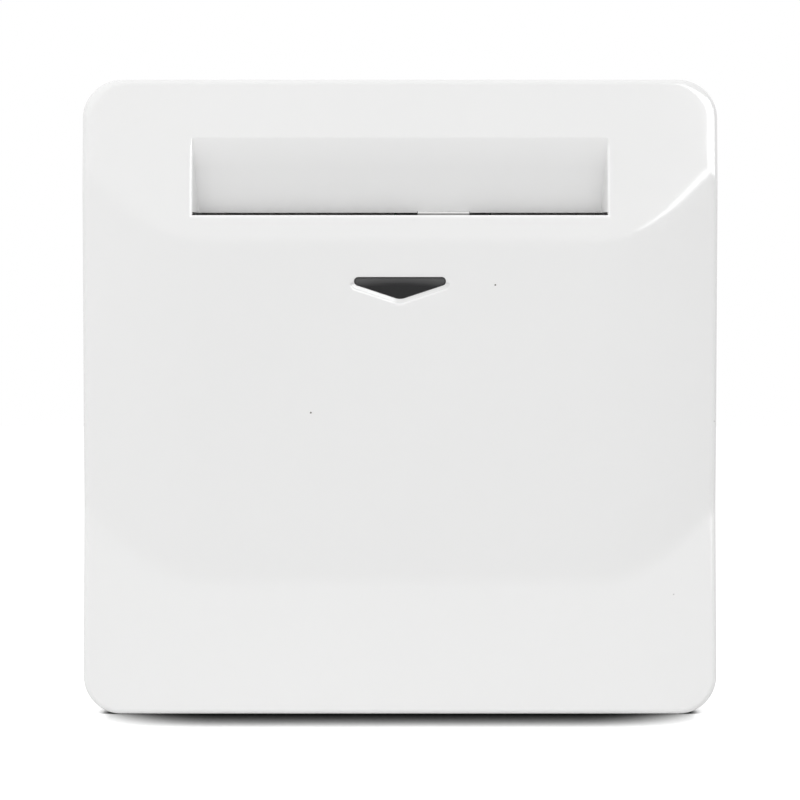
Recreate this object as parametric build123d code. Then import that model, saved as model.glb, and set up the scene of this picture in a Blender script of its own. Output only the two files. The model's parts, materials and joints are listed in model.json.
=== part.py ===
from build123d import *
import math
import os

os.makedirs("parts", exist_ok=True)

# A wall switch for a key card. X is to the right, Z is up, and the front faces -Y.
# The wall's face is the plane Y = 0, and the origin lies midway between the two fixing screws.
# A depth is a distance in front of the wall, along -Y, and is negative inside the wall box.

# Outline of the front cover
plate_w = 86.0
plate_h = 86.0
corner_r = 5.2
rim_r = 1.5
wall = 1.8

# The front is a wave of three faces: it swells to a ridge below the slot and sinks to a valley
ridge_z = 21.0
ridge_depth = 14.6
valley_z = -25.0
top_slope = 0.10
mid_slope = 0.105
low_slope = 0.08
ridge_r = 8.0
valley_r = 12.0
side_flat = 26.0
side_drop = 1.95

# Card slot, and the sloping pocket behind it
card_w = 54.0
card_side_play = 1.1
card_gap = 1.7
lip_t = 1.45
lip_z = 24.62
sight_gap = 0.33
guide_slope = 0.20
ramp_t = 1.5
recess_side_t = 1.5
recess_edge_r = 0.3
recess_draft = 0.3
pocket_floor_z = -28.0

# Arrow window and its lens
arrow_top_z = 16.2
arrow_half_w = 6.2
arrow_end_h = 1.0
arrow_h = 3.05
arrow_corner_r = 0.45
arrow_tip_r = 1.2
arrow_bevel = 0.5
lens_fit = 0.08
lens_sink = 0.35
lens_flange_half_w = 9.0
lens_flange_margin = 0.9
lens_flange_t = 1.0
stake_x = 7.7
stake_r = 0.6
stake_h = 1.5

# Ribs and posts inside the front cover
rib_t = 1.2
rib_places = (-26.0, -19.0, -12.0, 12.0, 19.0, 26.0)
rib_low_z = 11.0
peg_inset_x = 4.5
peg_inset_z = 7.0
peg_r = 1.5
peg_len = 5.0
peg_fit = 0.05
socket_wall = 1.25
socket_clear = 0.7
pry_w = 8.0
pry_depth = 1.1

# Card guide: a flat pocket screwed to the back of the cover
guide_wall = 1.0
guide_side_t = 1.2
guide_floor_t = 1.2
guide_top_z = 24.1
guide_front_top_z = 10.3
guide_rail_top_z = 22.6
guide_rail_clear = 0.35
led_window_r = 2.6
tab_x = 33.0
tab_half = 3.2
tab_t = 1.2
tab_hole_r = 1.2
boss_r = 2.6
upper_tab_z = 6.0
upper_tab_depth = 8.0
lower_tab_z = -20.0
lower_tab_depth = 5.0

# Small self-tapping screws
small_head_r = 2.0
small_head_h = 1.2
small_shank_r = 0.95
guide_screw_len = 3.6
body_head_r = 2.3
body_head_h = 1.3
body_shank_r = 1.2
body_hole_fit = 0.2
frame_screw_len = 8.0
lid_screw_len = 12.0
thread_fit = 0.05
drive_w = 0.6
drive_depth = 0.7

# Trip lever, its pin and spring
lever_x = 5.9
lever_w = 7.0
lever_pivot_depth = 7.2
lever_pivot_z = 30.8
lever_hub_r = 1.9
lever_arm_front = 9.15
lever_arm_back = 7.5
nose_depth = 12.2
nose_face_out = 0.25
nose_face_h = 0.75
nose_edge = 0.2
nose_top_z = 25.15
nose_low_slope = 0.9
nose_low_z = 22.4
nose_clear = 0.2
nose_top_clear = 0.08
notch_clear = 0.4
notch_low_clear = 1.2
finger_low_z = 25.6
finger_w = 3.0
finger_h = 2.4
pin_r = 0.75
pin_fit = 0.05
ear_t = 1.2
ear_r = 2.2
ear_side_clear = 0.3
spring_wire_r = 0.2
spring_coil_r = 1.5
spring_pitch = 0.9
spring_turns = 3.75
spring_leg_end_z = 27.2
spring_leg_in = 0.8
spring_hole_r = 0.28
spring_stub_w = 0.9
spring_stub_h = 1.2
spring_touch = 0.05
stop_touch = 0.05
stop_back_depth = 2.6
stop_t = 1.4

# Subminiature switch behind the lever
switch_z = 27.0
switch_w = 12.8
switch_h = 5.8
switch_body_depth = 0.5
plunger_r = 0.9
plunger_fit = 0.05
plunger_tip_depth = 1.4
plunger_in_depth = -0.9
plunger_collar_r = 1.3
plunger_collar_t = 0.6
plunger_cavity_fit = 0.1
plunger_stroke_room = 1.3
finger_gap = 0.05

# Mounting frame, screwed to the wall box
frame_side_gap = 1.2
frame_corner_r = 4.0
frame_t = 1.5
frame_rim_t = 1.2
frame_rim_depth = 2.4
fixing_pitch = 60.3
fixing_slot_r = 2.1
fixing_slot_len = 6.4
window_web = 2.6
window_top_z = 33.6
window_low_z = -31.0
window_step_z = -12.6
window_wide_half_w = 30.9
frame_screw_out = 2.6
frame_screw_low_z = -9.0
frame_screw_high_z = 26.0

# Housing in the wall box
housing_half_w = 26.0
housing_low_z = -21.0
housing_high_z = 34.6
housing_back_room = 3.7
housing_wall = 1.6
housing_corner_r = 3.0
housing_ear_r = 3.0
housing_ear_len = 9.0
housing_front_depth = 0.3
recess_fit = 0.3
head_sink_fit = 0.2
pilot_room = 0.6
lid_t = 1.6
lid_fit = 0.15
post_r = 2.75
post_side = 5.5
post_low_z = -15.5
post_high_z = 28.0
window_fit = 0.3

# Circuit board and what stands on it
board_t = 1.6
board_front_depth = -6.0
board_margin = 0.6
led_z = 14.8
led_r = 1.5
led_flange_r = 1.9
led_flange_t = 1.0
led_base_depth = 1.9
led_tip_depth = 7.6
led_lead_pitch = 1.27
led_lead_r = 0.25
led_spacer_r = 2.2
led_lead_fit = 0.15
lead_r = 0.35
lead_hole_fit = 0.15
lead_out = 0.8
switch_pin_pitch = 5.08
relay_pins = ((-8.0, -6.0), (-8.0, 6.0), (-6.0, 0.0), (6.0, -6.0), (6.0, 6.0))
film_cap_pin_pitch = 15.0
can_pin_pitch = 3.5
varistor_pin_pitch = 7.5
relay_size = (19.0, 15.5, 15.4)
relay_place = (11.5, 3.8)
relay_edge_r = 0.8
film_cap_size = (17.5, 8.0, 13.0)
film_cap_place = (-12.4, -1.5)
film_cap_edge_r = 0.7
can_r = 4.0
can_len = 12.5
can_bead_r = 0.35
can_left_x = -16.8
can_right_x = -6.6
can_z = 9.0
can_groove_up = 1.6
can_groove_out = 0.15
can_score = 0.3
varistor_r = 4.6
varistor_t = 3.8
varistor_place = (-13.5, 21.0)
varistor_stand = 1.4
resistor_r = 1.9
resistor_len = 10.5
resistor_place = (2.5, 17.1)
diode_r = 1.3
diode_len = 5.0
diode_left_x = 1.8
diode_right_x = 11.0
diode_low_z = 20.4
diode_high_z = 23.4
axial_stand = 0.6
axial_lead_r = 0.4
axial_lead_out = 1.3
chip_size = (5.0, 4.0, 1.5)
chip_place = (-13.0, 4.0)
chip_stand = 0.15
chip_leg_pitch = 1.27

# Wire terminals
terminal_post_clear = 1.25
terminal_w = 8.0
terminal_h = 9.5
terminal_t = 9.0
terminal_front_depth = -14.0
terminal_foot_clear = 0.2
wire_r = 1.9
wire_entry_r = 2.6
terminal_leg_w = 3.0
terminal_leg_t = 1.0
terminal_screw_r = 1.6
terminal_screw_head_r = 2.7
terminal_screw_head_h = 1.8
terminal_screw_out = 1.6
wire_stop_t = 1.5
screw_access_r = 3.2
barrier_t = 1.4
barrier_high_z = -8.0
barrier_board_gap = 1.0

# Values that follow from the ones above
post_x = housing_half_w - post_side
frame_screw_x = housing_half_w + frame_screw_out
body_hole_r = body_shank_r + body_hole_fit
window_half_w = frame_screw_x - body_hole_r - window_web
terminal_pitch = post_x - post_r - terminal_w / 2 - terminal_post_clear
slot_half_w = card_w / 2 + card_side_play
lip_depth = ridge_depth - top_slope * (lip_z - ridge_z)
guide_back_at_lip = lip_depth - lip_t - card_gap
ramp_end_z = lip_z + sight_gap
recess_top_z = lip_z + (lip_t + card_gap) / (top_slope + guide_slope)
guide_half_w = slot_half_w + guide_side_t
inner_half_w = plate_w / 2 - wall
inner_half_h = plate_h / 2 - wall
side_roll_run = plate_w / 2 - side_flat
frame_w = 2 * (inner_half_w - frame_side_gap)
frame_h = 2 * (inner_half_h - frame_side_gap)
peg_x = frame_w / 2 - peg_inset_x
peg_z = frame_h / 2 - peg_inset_z
side_roll_r = (side_roll_run**2 + side_drop**2) / (2 * side_drop)
lever_x0 = lever_x - lever_w / 2
lever_x1 = lever_x + lever_w / 2
spring_x0 = lever_x1 + spring_wire_r + 0.2
spring_x1 = spring_x0 + spring_pitch * spring_turns
ear_right_x = spring_x1 + spring_wire_r + ear_side_clear
ear_left_x = lever_x0 - ear_side_clear - ear_t
board_back_depth = board_front_depth - board_t
terminal_back_depth = terminal_front_depth - terminal_t
housing_len = housing_front_depth - terminal_back_depth + housing_back_room
wire_depth = terminal_front_depth - terminal_t / 2
terminal_places = (-terminal_pitch, 0.0, terminal_pitch)
can_places = ((can_left_x, can_z), (can_right_x, can_z))
diode_places = [(x, z) for z in (diode_low_z, diode_high_z) for x in (diode_left_x, diode_right_x)]
terminal_low_z = housing_low_z + housing_wall + terminal_foot_clear
terminal_z = terminal_low_z + terminal_h / 2
arrow_middle_z = arrow_top_z - arrow_h / 2
head_sink_depth = body_head_h + 0.1
far = 60.0


# Depth of each face of the front, midway between the sides
def top_face(z):
    return ridge_depth - top_slope * (z - ridge_z)


def mid_face(z):
    return ridge_depth + mid_slope * (z - ridge_z)


def low_face(z):
    return mid_face(valley_z) + low_slope * (valley_z - z)


# Depth of the pocket's back and front, between which the card slides
def guide_back(z):
    return guide_back_at_lip + guide_slope * (z - lip_z)


def guide_front(z):
    return guide_back(z) + card_gap


# Solid from x0 to x1 with a section given as (depth, z) points
def side_cut(points, x0, x1):
    section = Polygon(*[(-depth, z) for depth, z in points], align=None)
    return Pos(x0, 0, 0) * extrude(Plane.YZ * section, x1 - x0, dir=(1, 0, 0))


# Sloping slab between two depth functions
def slab(front, back, z0, z1, x0, x1):
    return side_cut([(front(z0), z0), (front(z1), z1), (back(z1), z1), (back(z0), z0)], x0, x1)


def block(x0, x1, depth0, depth1, z0, z1):
    return side_cut([(depth0, z0), (depth1, z0), (depth1, z1), (depth0, z1)], x0, x1)


# Round bar along Y, starting at depth0
def rod(x, z, radius, depth0, depth1):
    base = Plane(origin=(x, -depth0, z), z_dir=(0, -1 if depth1 > depth0 else 1, 0))
    return extrude(base * Circle(radius), abs(depth1 - depth0))


# Round bar along X, from x0 to x1
def cross_rod(depth, z, radius, x0, x1):
    return extrude(Plane(origin=(x0, -depth, z), z_dir=(1, 0, 0)) * Circle(radius), x1 - x0)


# Rounded rectangle in X and Z, as a prism between two depths
def rounded_prism(width, height, radius, depth0, depth1, z=0.0):
    base = Plane(origin=(0, -depth0, z), x_dir=(1, 0, 0), z_dir=(0, -1, 0))
    return extrude(base * RectangleRounded(width, height, radius), depth1 - depth0)


# Screw with its head under or over a seat, forward is 1 where the shank points to the front
def screw(x, z, seat_depth, forward, head_r, head_h, shank_r, length):
    head = rod(x, z, head_r, seat_depth, seat_depth - forward * head_h)
    shank = rod(x, z, shank_r, seat_depth, seat_depth + forward * length)
    top = seat_depth - forward * head_h
    low = min(top, top + forward * drive_depth)
    high = max(top, top + forward * drive_depth)
    arm = head_r * 0.62
    drive = block(x - arm, x + arm, low, high, z - drive_w / 2, z + drive_w / 2)
    drive += block(x - drive_w / 2, x + drive_w / 2, low, high, z - arm, z + arm)
    return head + shank - drive


# Everything behind the wave of the front, with the wave moved back by skin
def wave_body(skin):
    half = plate_w / 2 + 1
    z0, z1 = -plate_h / 2 - 1, plate_h / 2 + 1
    behind = -far
    top = side_cut(
        [(behind, z0), (top_face(z0) - skin, z0), (top_face(z1) - skin, z1), (behind, z1)], -half, half
    )
    low = side_cut(
        [(behind, z0), (low_face(z0) - skin, z0), (low_face(z1) - skin, z1), (behind, z1)], -half, half
    )
    front = -(mid_face(z0) - skin)
    turn = math.degrees(math.asin((half - side_flat) / side_roll_r))
    right = JernArc((side_flat, front), (1, 0), side_roll_r, turn)
    left = JernArc((-side_flat, front), (-1, 0), side_roll_r, -turn)
    outline = [
        Line((-side_flat, front), (side_flat, front)),
        right,
        Line(right @ 1, (half, far)),
        Line((half, far), (-half, far)),
        Line((-half, far), left @ 1),
        left,
    ]
    section = Pos(0, 0, z0) * make_face(outline)
    mid = extrude(section, (z1 - z0) * math.hypot(1, mid_slope), dir=(0, -mid_slope, 1))
    return (top & mid) + low


# Edges where two faces of the wave meet, found by the height and depth of their middles
def fold_edges(body, face_a, face_b):
    found = []
    for edge in body.edges():
        point = edge @ 0.5
        drop = max(0.0, abs(point.X) - side_flat)
        roll = side_roll_r - math.sqrt(side_roll_r**2 - drop**2)
        depths = {
            "top": top_face(point.Z),
            "mid": mid_face(point.Z) - roll,
            "low": low_face(point.Z),
        }
        if all(abs(-point.Y - depths[face]) < 0.02 for face in (face_a, face_b)):
            found.append(edge)
    return found


def cover_shell():
    body = wave_body(0)
    body = fillet(fold_edges(body, "top", "mid"), ridge_r)
    body = fillet(fold_edges(body, "mid", "low"), valley_r)
    body = body & rounded_prism(plate_w, plate_h, corner_r, 0, far / 2)
    rim = [e for e in body.edges() if (e @ 0.5).Y < -1 and abs((e % 0.5).Y) < 0.9 and on_outline(e @ 0.5)]
    body = fillet(rim, rim_r)
    hollow = wave_body(wall) & rounded_prism(
        2 * inner_half_w, 2 * inner_half_h, corner_r - wall, -1, far / 2
    )
    return body - hollow


def on_outline(point):
    outside = max(abs(point.X) - plate_w / 2 + corner_r, 0), max(abs(point.Z) - plate_h / 2 + corner_r, 0)
    reach = math.hypot(*outside) if all(outside) else max(outside)
    return abs(reach - corner_r) < 0.01


# The arrow's outline, pointing down, grown by margin
def arrow(margin=0.0):
    points = [
        (-arrow_half_w, 0),
        (arrow_half_w, 0),
        (arrow_half_w, -arrow_end_h),
        (0, -arrow_h),
        (-arrow_half_w, -arrow_end_h),
    ]
    shape = Polygon(*points, align=None)
    tip = shape.vertices().sort_by(Axis.Y)[0]
    ends = [v for v in shape.vertices() if abs(v.X) > 0.01]
    shape = fillet(ends, arrow_corner_r)
    tip = shape.vertices().sort_by(Axis.Y)[0]
    shape = fillet(tip, arrow_tip_r)
    if margin:
        shape = offset(shape, margin)
    return Plane(origin=(0, 0, arrow_top_z), x_dir=(1, 0, 0), z_dir=(0, -1, 0)) * shape


# Prism along Y through a flat outline drawn in X and Z
def through(outline):
    return Pos(0, -far / 2, 0) * extrude(outline, far, dir=(0, 1, 0))


def front_cover():
    cover = cover_shell()
    ramp_half = slot_half_w + recess_side_t
    ramp_back = lambda z: guide_back(z) - ramp_t
    skin_middle = lambda z: mid_face(z) - wall / 2
    cover += slab(top_face, ramp_back, ramp_end_z, recess_top_z + ramp_t, -ramp_half, ramp_half)
    cover += slab(lambda z: top_face(z) - wall / 2, ramp_back, guide_top_z, ramp_end_z, -ramp_half, ramp_half)
    for x in rib_places:
        cover += slab(skin_middle, guide_front, rib_low_z, ridge_z, x - rib_t / 2, x + rib_t / 2)
    cover -= slab(guide_front, guide_back, ridge_z - 1, lip_z, -slot_half_w, slot_half_w)
    mouth_top_z = recess_top_z + ramp_t
    mouth_points = [
        (guide_back(lip_z), lip_z),
        (far / 2, lip_z),
        (far / 2, mouth_top_z),
        (guide_back(mouth_top_z), mouth_top_z),
    ]
    mouth = side_cut(mouth_points, -slot_half_w, slot_half_w) & recess_sides()
    throat_depth = guide_back(guide_top_z) - ramp_t - 1
    cover -= mouth
    cover -= block(-slot_half_w, slot_half_w, throat_depth, guide_back(lip_z), guide_top_z - 1, ramp_end_z)
    notch_x0 = lever_x0 - nose_clear
    notch_x1 = lever_x1 + nose_clear
    cover -= block(notch_x0, notch_x1, throat_depth, far / 2, lip_z, nose_top_z + nose_top_clear)
    cover = fillet(recess_rims(cover), recess_edge_r)
    cover += cover_posts()
    cover -= cover_holes()
    rim = [e for e in cover.edges() if on_arrow_rim(e @ 0.5)]
    return chamfer(rim, arrow_bevel)


# Room between the two side walls of the recess, which lean towards each other as they go in
def recess_sides():
    z0 = lip_z - 1
    height = recess_top_z + 2 * ramp_t - z0
    front = -top_face(z0)
    lean = recess_draft * far / 4
    section = Polygon(
        (-slot_half_w, front - far),
        (slot_half_w, front - far),
        (slot_half_w, front),
        (slot_half_w - lean, front + far / 4),
        (lean - slot_half_w, front + far / 4),
        (-slot_half_w, front),
        align=None,
    )
    return extrude(Pos(0, 0, z0) * section, height * math.hypot(1, top_slope), dir=(0, top_slope, 1))


# Upright edges where the side walls of the recess meet the front face
def recess_rims(body):
    def inside(p):
        return abs(abs(p.X) - slot_half_w) < 0.01 and abs(-p.Y - top_face(p.Z)) < 0.01 and p.Z > ramp_end_z

    return [e for e in body.edges() if inside(e @ 0.5)]


def on_arrow_rim(p):
    within = abs(p.X) < arrow_half_w + 0.1 and arrow_top_z - arrow_h - 0.5 < p.Z < arrow_top_z + 0.1
    return within and abs(-p.Y - mid_face(p.Z)) < 0.02


def guide_tab_places():
    upper = [(side * tab_x, upper_tab_z, upper_tab_depth) for side in (-1, 1)]
    lower = [(side * tab_x, lower_tab_z, lower_tab_depth) for side in (-1, 1)]
    return upper + lower


def peg_places():
    return [(x, z) for x in (-peg_x, peg_x) for z in (-peg_z, peg_z)]


# Screw bosses, peg sockets and lens stakes, ended inside the skin so none shows at the front
def cover_posts():
    inside_skin = wave_body(wall / 2)
    posts = Part()
    for x, z, depth in guide_tab_places():
        posts += rod(x, z, boss_r, depth, far / 3)
    for x, z in peg_places():
        posts += rod(x, z, peg_r + peg_fit + socket_wall, frame_t + socket_clear, far / 3)
    for x in (-stake_x, stake_x):
        posts += rod(x, arrow_middle_z, stake_r, mid_face(arrow_middle_z) - wall - stake_h, far / 3)
    return posts & inside_skin


def cover_holes():
    holes = through(arrow())
    for x, z, depth in guide_tab_places():
        holes += rod(x, z, small_shank_r + thread_fit, depth - 1, depth - tab_t + guide_screw_len + 0.2)
    for x, z in peg_places():
        holes += rod(x, z, peg_r + peg_fit, 0, frame_t + peg_len + 0.3)
    holes += block(-pry_w / 2, pry_w / 2, -1, pry_depth, -plate_h / 2 - 1, -inner_half_h + 0.5)
    return holes


# Clear arrow that fills the window, with a flange staked to the back of the skin
def arrow_lens():
    z0 = arrow_top_z - arrow_h - lens_flange_margin
    z1 = arrow_top_z + lens_flange_margin
    skin_back = lambda z: mid_face(z) - wall
    flange_back = lambda z: skin_back(z) - lens_flange_t
    lens_front = lambda z: mid_face(z) - lens_sink
    lens = through(arrow(-lens_fit)) & slab(lens_front, flange_back, z0, z1, -far, far)
    lens += slab(skin_back, flange_back, z0, z1, -lens_flange_half_w, lens_flange_half_w)
    for x in (-stake_x, stake_x):
        lens -= rod(x, arrow_middle_z, stake_r + thread_fit, 0, far / 2)
    return lens


# Flat pocket that takes the card, closed at the bottom, with four screw tabs
def card_guide():
    low = pocket_floor_z - guide_floor_t
    outer_back = lambda z: guide_back(z) - guide_wall
    outer_front = lambda z: guide_front(z) + guide_wall
    rail_front = lambda z: guide_front(z) - guide_rail_clear
    guide = slab(outer_front, outer_back, low, guide_front_top_z, -guide_half_w, guide_half_w)
    guide += slab(guide_back, outer_back, guide_front_top_z, guide_top_z, -guide_half_w, guide_half_w)
    for x0, x1 in ((-guide_half_w, -slot_half_w), (slot_half_w, guide_half_w)):
        guide += slab(rail_front, outer_back, guide_front_top_z, guide_rail_top_z, x0, x1)
    guide -= slab(guide_front, guide_back, pocket_floor_z, guide_front_top_z + 1, -slot_half_w, slot_half_w)
    for x, z, depth in guide_tab_places():
        reach = math.copysign(tab_x + tab_half, x)
        root = math.copysign(guide_half_w - guide_side_t / 2, x)
        guide += block(min(root, reach), max(root, reach), depth - tab_t, depth, z - tab_half, z + tab_half)
        guide -= rod(x, z, tab_hole_r, depth - tab_t - 1, depth + 1)
    guide -= rod(0, led_z, led_window_r, 0, guide_back(led_z) + guide_wall)
    notch_low = nose_low_z - notch_low_clear
    guide -= block(lever_x0 - notch_clear, lever_x1 + notch_clear, 0, far / 2, notch_low, guide_top_z + 1)
    return guide


def guide_screws():
    return [
        screw(x, z, depth - tab_t, 1, small_head_r, small_head_h, small_shank_r, guide_screw_len)
        for x, z, depth in guide_tab_places()
    ]


# Lever with a nose across the card's way and a finger that presses the switch.
# The nose has a short upright face in the slot's mouth, and slopes out across the slot below it
def trip_lever():
    face_depth = guide_back(nose_top_z) + nose_face_out
    face_low_z = nose_top_z - nose_face_h
    arm = [
        (lever_arm_front, lever_pivot_z),
        (lever_arm_front, nose_top_z),
        (face_depth - nose_edge, nose_top_z),
        (face_depth, nose_top_z - nose_edge),
        (face_depth, face_low_z),
        (nose_depth, face_low_z - (nose_depth - face_depth)),
        (nose_depth, nose_low_z + nose_low_slope),
        (nose_depth - nose_low_slope, nose_low_z),
        (lever_arm_back, nose_low_z),
        (lever_arm_back, lever_pivot_z),
    ]
    lever = side_cut(arm, lever_x0, lever_x1)
    lever += cross_rod(lever_pivot_depth, lever_pivot_z, lever_hub_r, lever_x0, lever_x1)
    finger_x0 = lever_x - finger_w / 2
    finger_end = plunger_tip_depth + finger_gap
    finger_high_z = finger_low_z + finger_h
    lever += block(finger_x0, finger_x0 + finger_w, finger_end, lever_arm_front, finger_low_z, finger_high_z)
    stub_back = lever_pivot_depth - spring_coil_r + spring_wire_r + spring_touch
    stub_low = spring_leg_end_z + spring_wire_r
    stub_x1 = lever_x1 + spring_stub_w
    lever += block(lever_x1 - 1, stub_x1, stub_back, lever_arm_front, stub_low, stub_low + spring_stub_h)
    lever -= cross_rod(lever_pivot_depth, lever_pivot_z, pin_r + pin_fit, lever_x0 - 1, lever_x1 + 1)
    return lever


def lever_pin():
    return cross_rod(lever_pivot_depth, lever_pivot_z, pin_r, ear_left_x - 0.3, ear_right_x + ear_t + 0.3)


# Coil round the pin, one leg behind the lever's stub and the other in a hole in the lid
def lever_spring():
    axis = Plane(origin=(spring_x0, -lever_pivot_depth, lever_pivot_z), x_dir=(0, 1, 0), z_dir=(1, 0, 0))
    path = Helix(pitch=spring_pitch, height=spring_pitch * spring_turns, radius=spring_coil_r)
    coil = axis.location * sweep(Plane(origin=path @ 0, z_dir=path % 0) * Circle(spring_wire_r), path=path)
    leg_depth = lever_pivot_depth - spring_coil_r
    leg_z = lever_pivot_z - spring_coil_r
    start = (spring_x0, -leg_depth, lever_pivot_z)
    down = extrude(Plane(origin=start, z_dir=(0, 0, -1)) * Circle(spring_wire_r), lever_pivot_z - spring_leg_end_z)
    back = rod(spring_x1, leg_z, spring_wire_r, lever_pivot_depth, -spring_leg_in)
    bends = Pos(*start) * Sphere(spring_wire_r)
    bends += Pos(spring_x1, -lever_pivot_depth, leg_z) * Sphere(spring_wire_r)
    return coil + down + back + bends


def switch_pins():
    return [(lever_x + step * switch_pin_pitch, switch_z) for step in (-1, 0, 1)]


def switch_body():
    x0 = lever_x - switch_w / 2
    z0 = switch_z - switch_h / 2
    body = block(x0, x0 + switch_w, board_front_depth, switch_body_depth, z0, z0 + switch_h)
    body = fillet(body.edges().filter_by(Axis.Y), 0.4)
    collar_front = plunger_in_depth + plunger_collar_t + plunger_cavity_fit
    body -= rod(lever_x, switch_z, plunger_r + plunger_fit, plunger_in_depth, switch_body_depth + 1)
    cavity_r = plunger_collar_r + plunger_cavity_fit
    body -= rod(lever_x, switch_z, cavity_r, plunger_in_depth - plunger_stroke_room, collar_front)
    return body + leads(switch_pins(), board_front_depth, board_back_depth - lead_out)


def switch_plunger():
    plunger = rod(lever_x, switch_z, plunger_r, plunger_in_depth, plunger_tip_depth)
    plunger += rod(lever_x, switch_z, plunger_collar_r, plunger_in_depth, plunger_in_depth + plunger_collar_t)
    tip = [e for e in plunger.edges() if abs((e @ 0.5).Y + plunger_tip_depth) < 0.01]
    return fillet(tip, 0.3)


# Round leads from one depth to another
def leads(places, depth0, depth1):
    bars = Part()
    for x, z in places:
        bars += rod(x, z, lead_r, depth0, depth1)
    return bars


def fixing_slots():
    slot = SlotOverall(fixing_slot_len, 2 * fixing_slot_r)
    slots = Part()
    for x in (-fixing_pitch / 2, fixing_pitch / 2):
        slots += extrude(Plane(origin=(x, 1, 0), x_dir=(1, 0, 0), z_dir=(0, -1, 0)) * slot, far / 2)
    return slots


def frame_screw_places():
    return [(x, z) for x in (-frame_screw_x, frame_screw_x) for z in (frame_screw_low_z, frame_screw_high_z)]


# Outline of the housing with its screw ears, as a prism grown by margin
def housing_prism(margin, depth0, depth1, with_ears=True):
    height = housing_high_z - housing_low_z
    middle = (housing_high_z + housing_low_z) / 2
    width = 2 * (housing_half_w + margin)
    corner = max(housing_corner_r + margin, 0.2)
    body = rounded_prism(width, height + 2 * margin, corner, depth0, depth1, middle)
    if with_ears:
        for x, z in frame_screw_places():
            ear_depth0 = max(depth0, housing_front_depth - housing_ear_len)
            reach = housing_ear_r + margin
            body += rod(x, z, reach, ear_depth0, depth1)
            body += block(min(0, x), max(0, x), ear_depth0, depth1, z - reach, z + reach)
    return body


# Flat frame with a raised edge, four pegs for the cover and a window for the works
def mounting_frame():
    frame = rounded_prism(frame_w, frame_h, frame_corner_r, 0, frame_rim_depth)
    inside_r = frame_corner_r - frame_rim_t
    frame -= rounded_prism(frame_w - 2 * frame_rim_t, frame_h - 2 * frame_rim_t, inside_r, frame_t, far / 2)
    for x, z in peg_places():
        peg = rod(x, z, peg_r, frame_t - 1, frame_t + peg_len)
        tip = [e for e in peg.edges() if abs((e @ 0.5).Y + frame_t + peg_len) < 0.01]
        frame += chamfer(tip, 0.4)
    frame -= block(-window_half_w, window_half_w, -1, far / 2, window_step_z, window_top_z)
    frame -= block(-window_wide_half_w, window_wide_half_w, -1, far / 2, window_low_z, window_step_z)
    frame -= fixing_slots()
    frame -= housing_prism(recess_fit, -1, housing_front_depth)
    for x, z in frame_screw_places():
        frame -= rod(x, z, body_hole_r, -1, far / 2)
    return frame


def frame_screws():
    return [
        screw(x, z, frame_t, -1, body_head_r, body_head_h, body_shank_r, frame_screw_len)
        for x, z in frame_screw_places()
    ]


def post_places():
    return [(x, z) for x in (-post_x, post_x) for z in (post_low_z, post_high_z)]


def rear_housing():
    back = housing_front_depth - housing_len
    housing = housing_prism(0, back, housing_front_depth)
    housing -= housing_prism(-housing_wall, back + housing_wall, far / 2, False)
    for x, z in post_places():
        housing += rod(x, z, post_r, back + housing_wall / 2, board_back_depth)
        pilot_end = -head_sink_depth - lid_screw_len - pilot_room
        housing -= rod(x, z, body_shank_r + thread_fit, pilot_end, board_back_depth + 1)
    for x, z in frame_screw_places():
        pilot_end = frame_t - frame_screw_len - pilot_room
        housing -= rod(x, z, body_shank_r + thread_fit, pilot_end, housing_front_depth + 1)
    barrier_front = board_back_depth - barrier_board_gap
    for left, right in zip(terminal_places, terminal_places[1:]):
        x0 = (left + right) / 2 - barrier_t / 2
        low = housing_low_z + housing_wall / 2
        housing += block(x0, x0 + barrier_t, back + housing_wall / 2, barrier_front, low, barrier_high_z)
    for x in terminal_places:
        entry = Plane(origin=(x, -wire_depth, housing_low_z - 1), z_dir=(0, 0, 1)) * Circle(wire_entry_r)
        housing -= extrude(entry, 2 * housing_wall)
        housing -= rod(x, terminal_z, screw_access_r, back - 1, back + housing_wall + 0.5)
    return housing


# Lid that closes the housing and carries the lever's two ears
def housing_lid():
    grown = -(housing_wall + lid_fit)
    lid = housing_prism(grown, -lid_t, 0, False)
    for x, z in post_places():
        lid += rod(x, z, post_r, board_front_depth, -lid_t / 2)
        lid -= rod(x, z, body_head_r + head_sink_fit, -head_sink_depth, 1)
        lid -= rod(x, z, body_hole_r, board_front_depth - 1, 1)
    lid -= rod(0, led_z, led_spacer_r + window_fit, -lid_t - 1, 1)
    x0 = lever_x - switch_w / 2 - window_fit
    x1 = lever_x + switch_w / 2 + window_fit
    reach = switch_h / 2 + window_fit
    lid -= block(x0, x1, -lid_t - 1, 1, switch_z - reach, switch_z + reach)
    for x in (ear_left_x, ear_right_x):
        ear = cross_rod(lever_pivot_depth, lever_pivot_z, ear_r, x, x + ear_t)
        ear += block(x, x + ear_t, -lid_t / 2, lever_pivot_depth, switch_z + reach, lever_pivot_z + ear_r)
        lid += ear - cross_rod(lever_pivot_depth, lever_pivot_z, pin_r, x - 1, x + ear_t + 1)
    lid -= rod(spring_x1, lever_pivot_z - spring_coil_r, spring_hole_r, -spring_leg_in - 0.1, 1)
    return lid + finger_stop()


# Hooked post on the lid that the lever's finger rests on
def finger_stop():
    top = finger_low_z - stop_touch
    shelf = switch_z - switch_h / 2 - window_fit
    front = stop_back_depth + stop_t
    hook = [
        (-lid_t / 2, shelf - stop_t),
        (front, shelf - stop_t),
        (front, top),
        (stop_back_depth, top),
        (stop_back_depth, shelf),
        (-lid_t / 2, shelf),
    ]
    return side_cut(hook, lever_x - finger_w / 2, lever_x + finger_w / 2)


def lid_screws():
    return [
        screw(x, z, -head_sink_depth, -1, body_head_r, body_head_h, body_shank_r, lid_screw_len)
        for x, z in post_places()
    ]


def axial_leads(places, length):
    reach = length / 2 + axial_lead_out
    return [(x + side * reach, z) for x, z in places for side in (-1, 1)]


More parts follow.
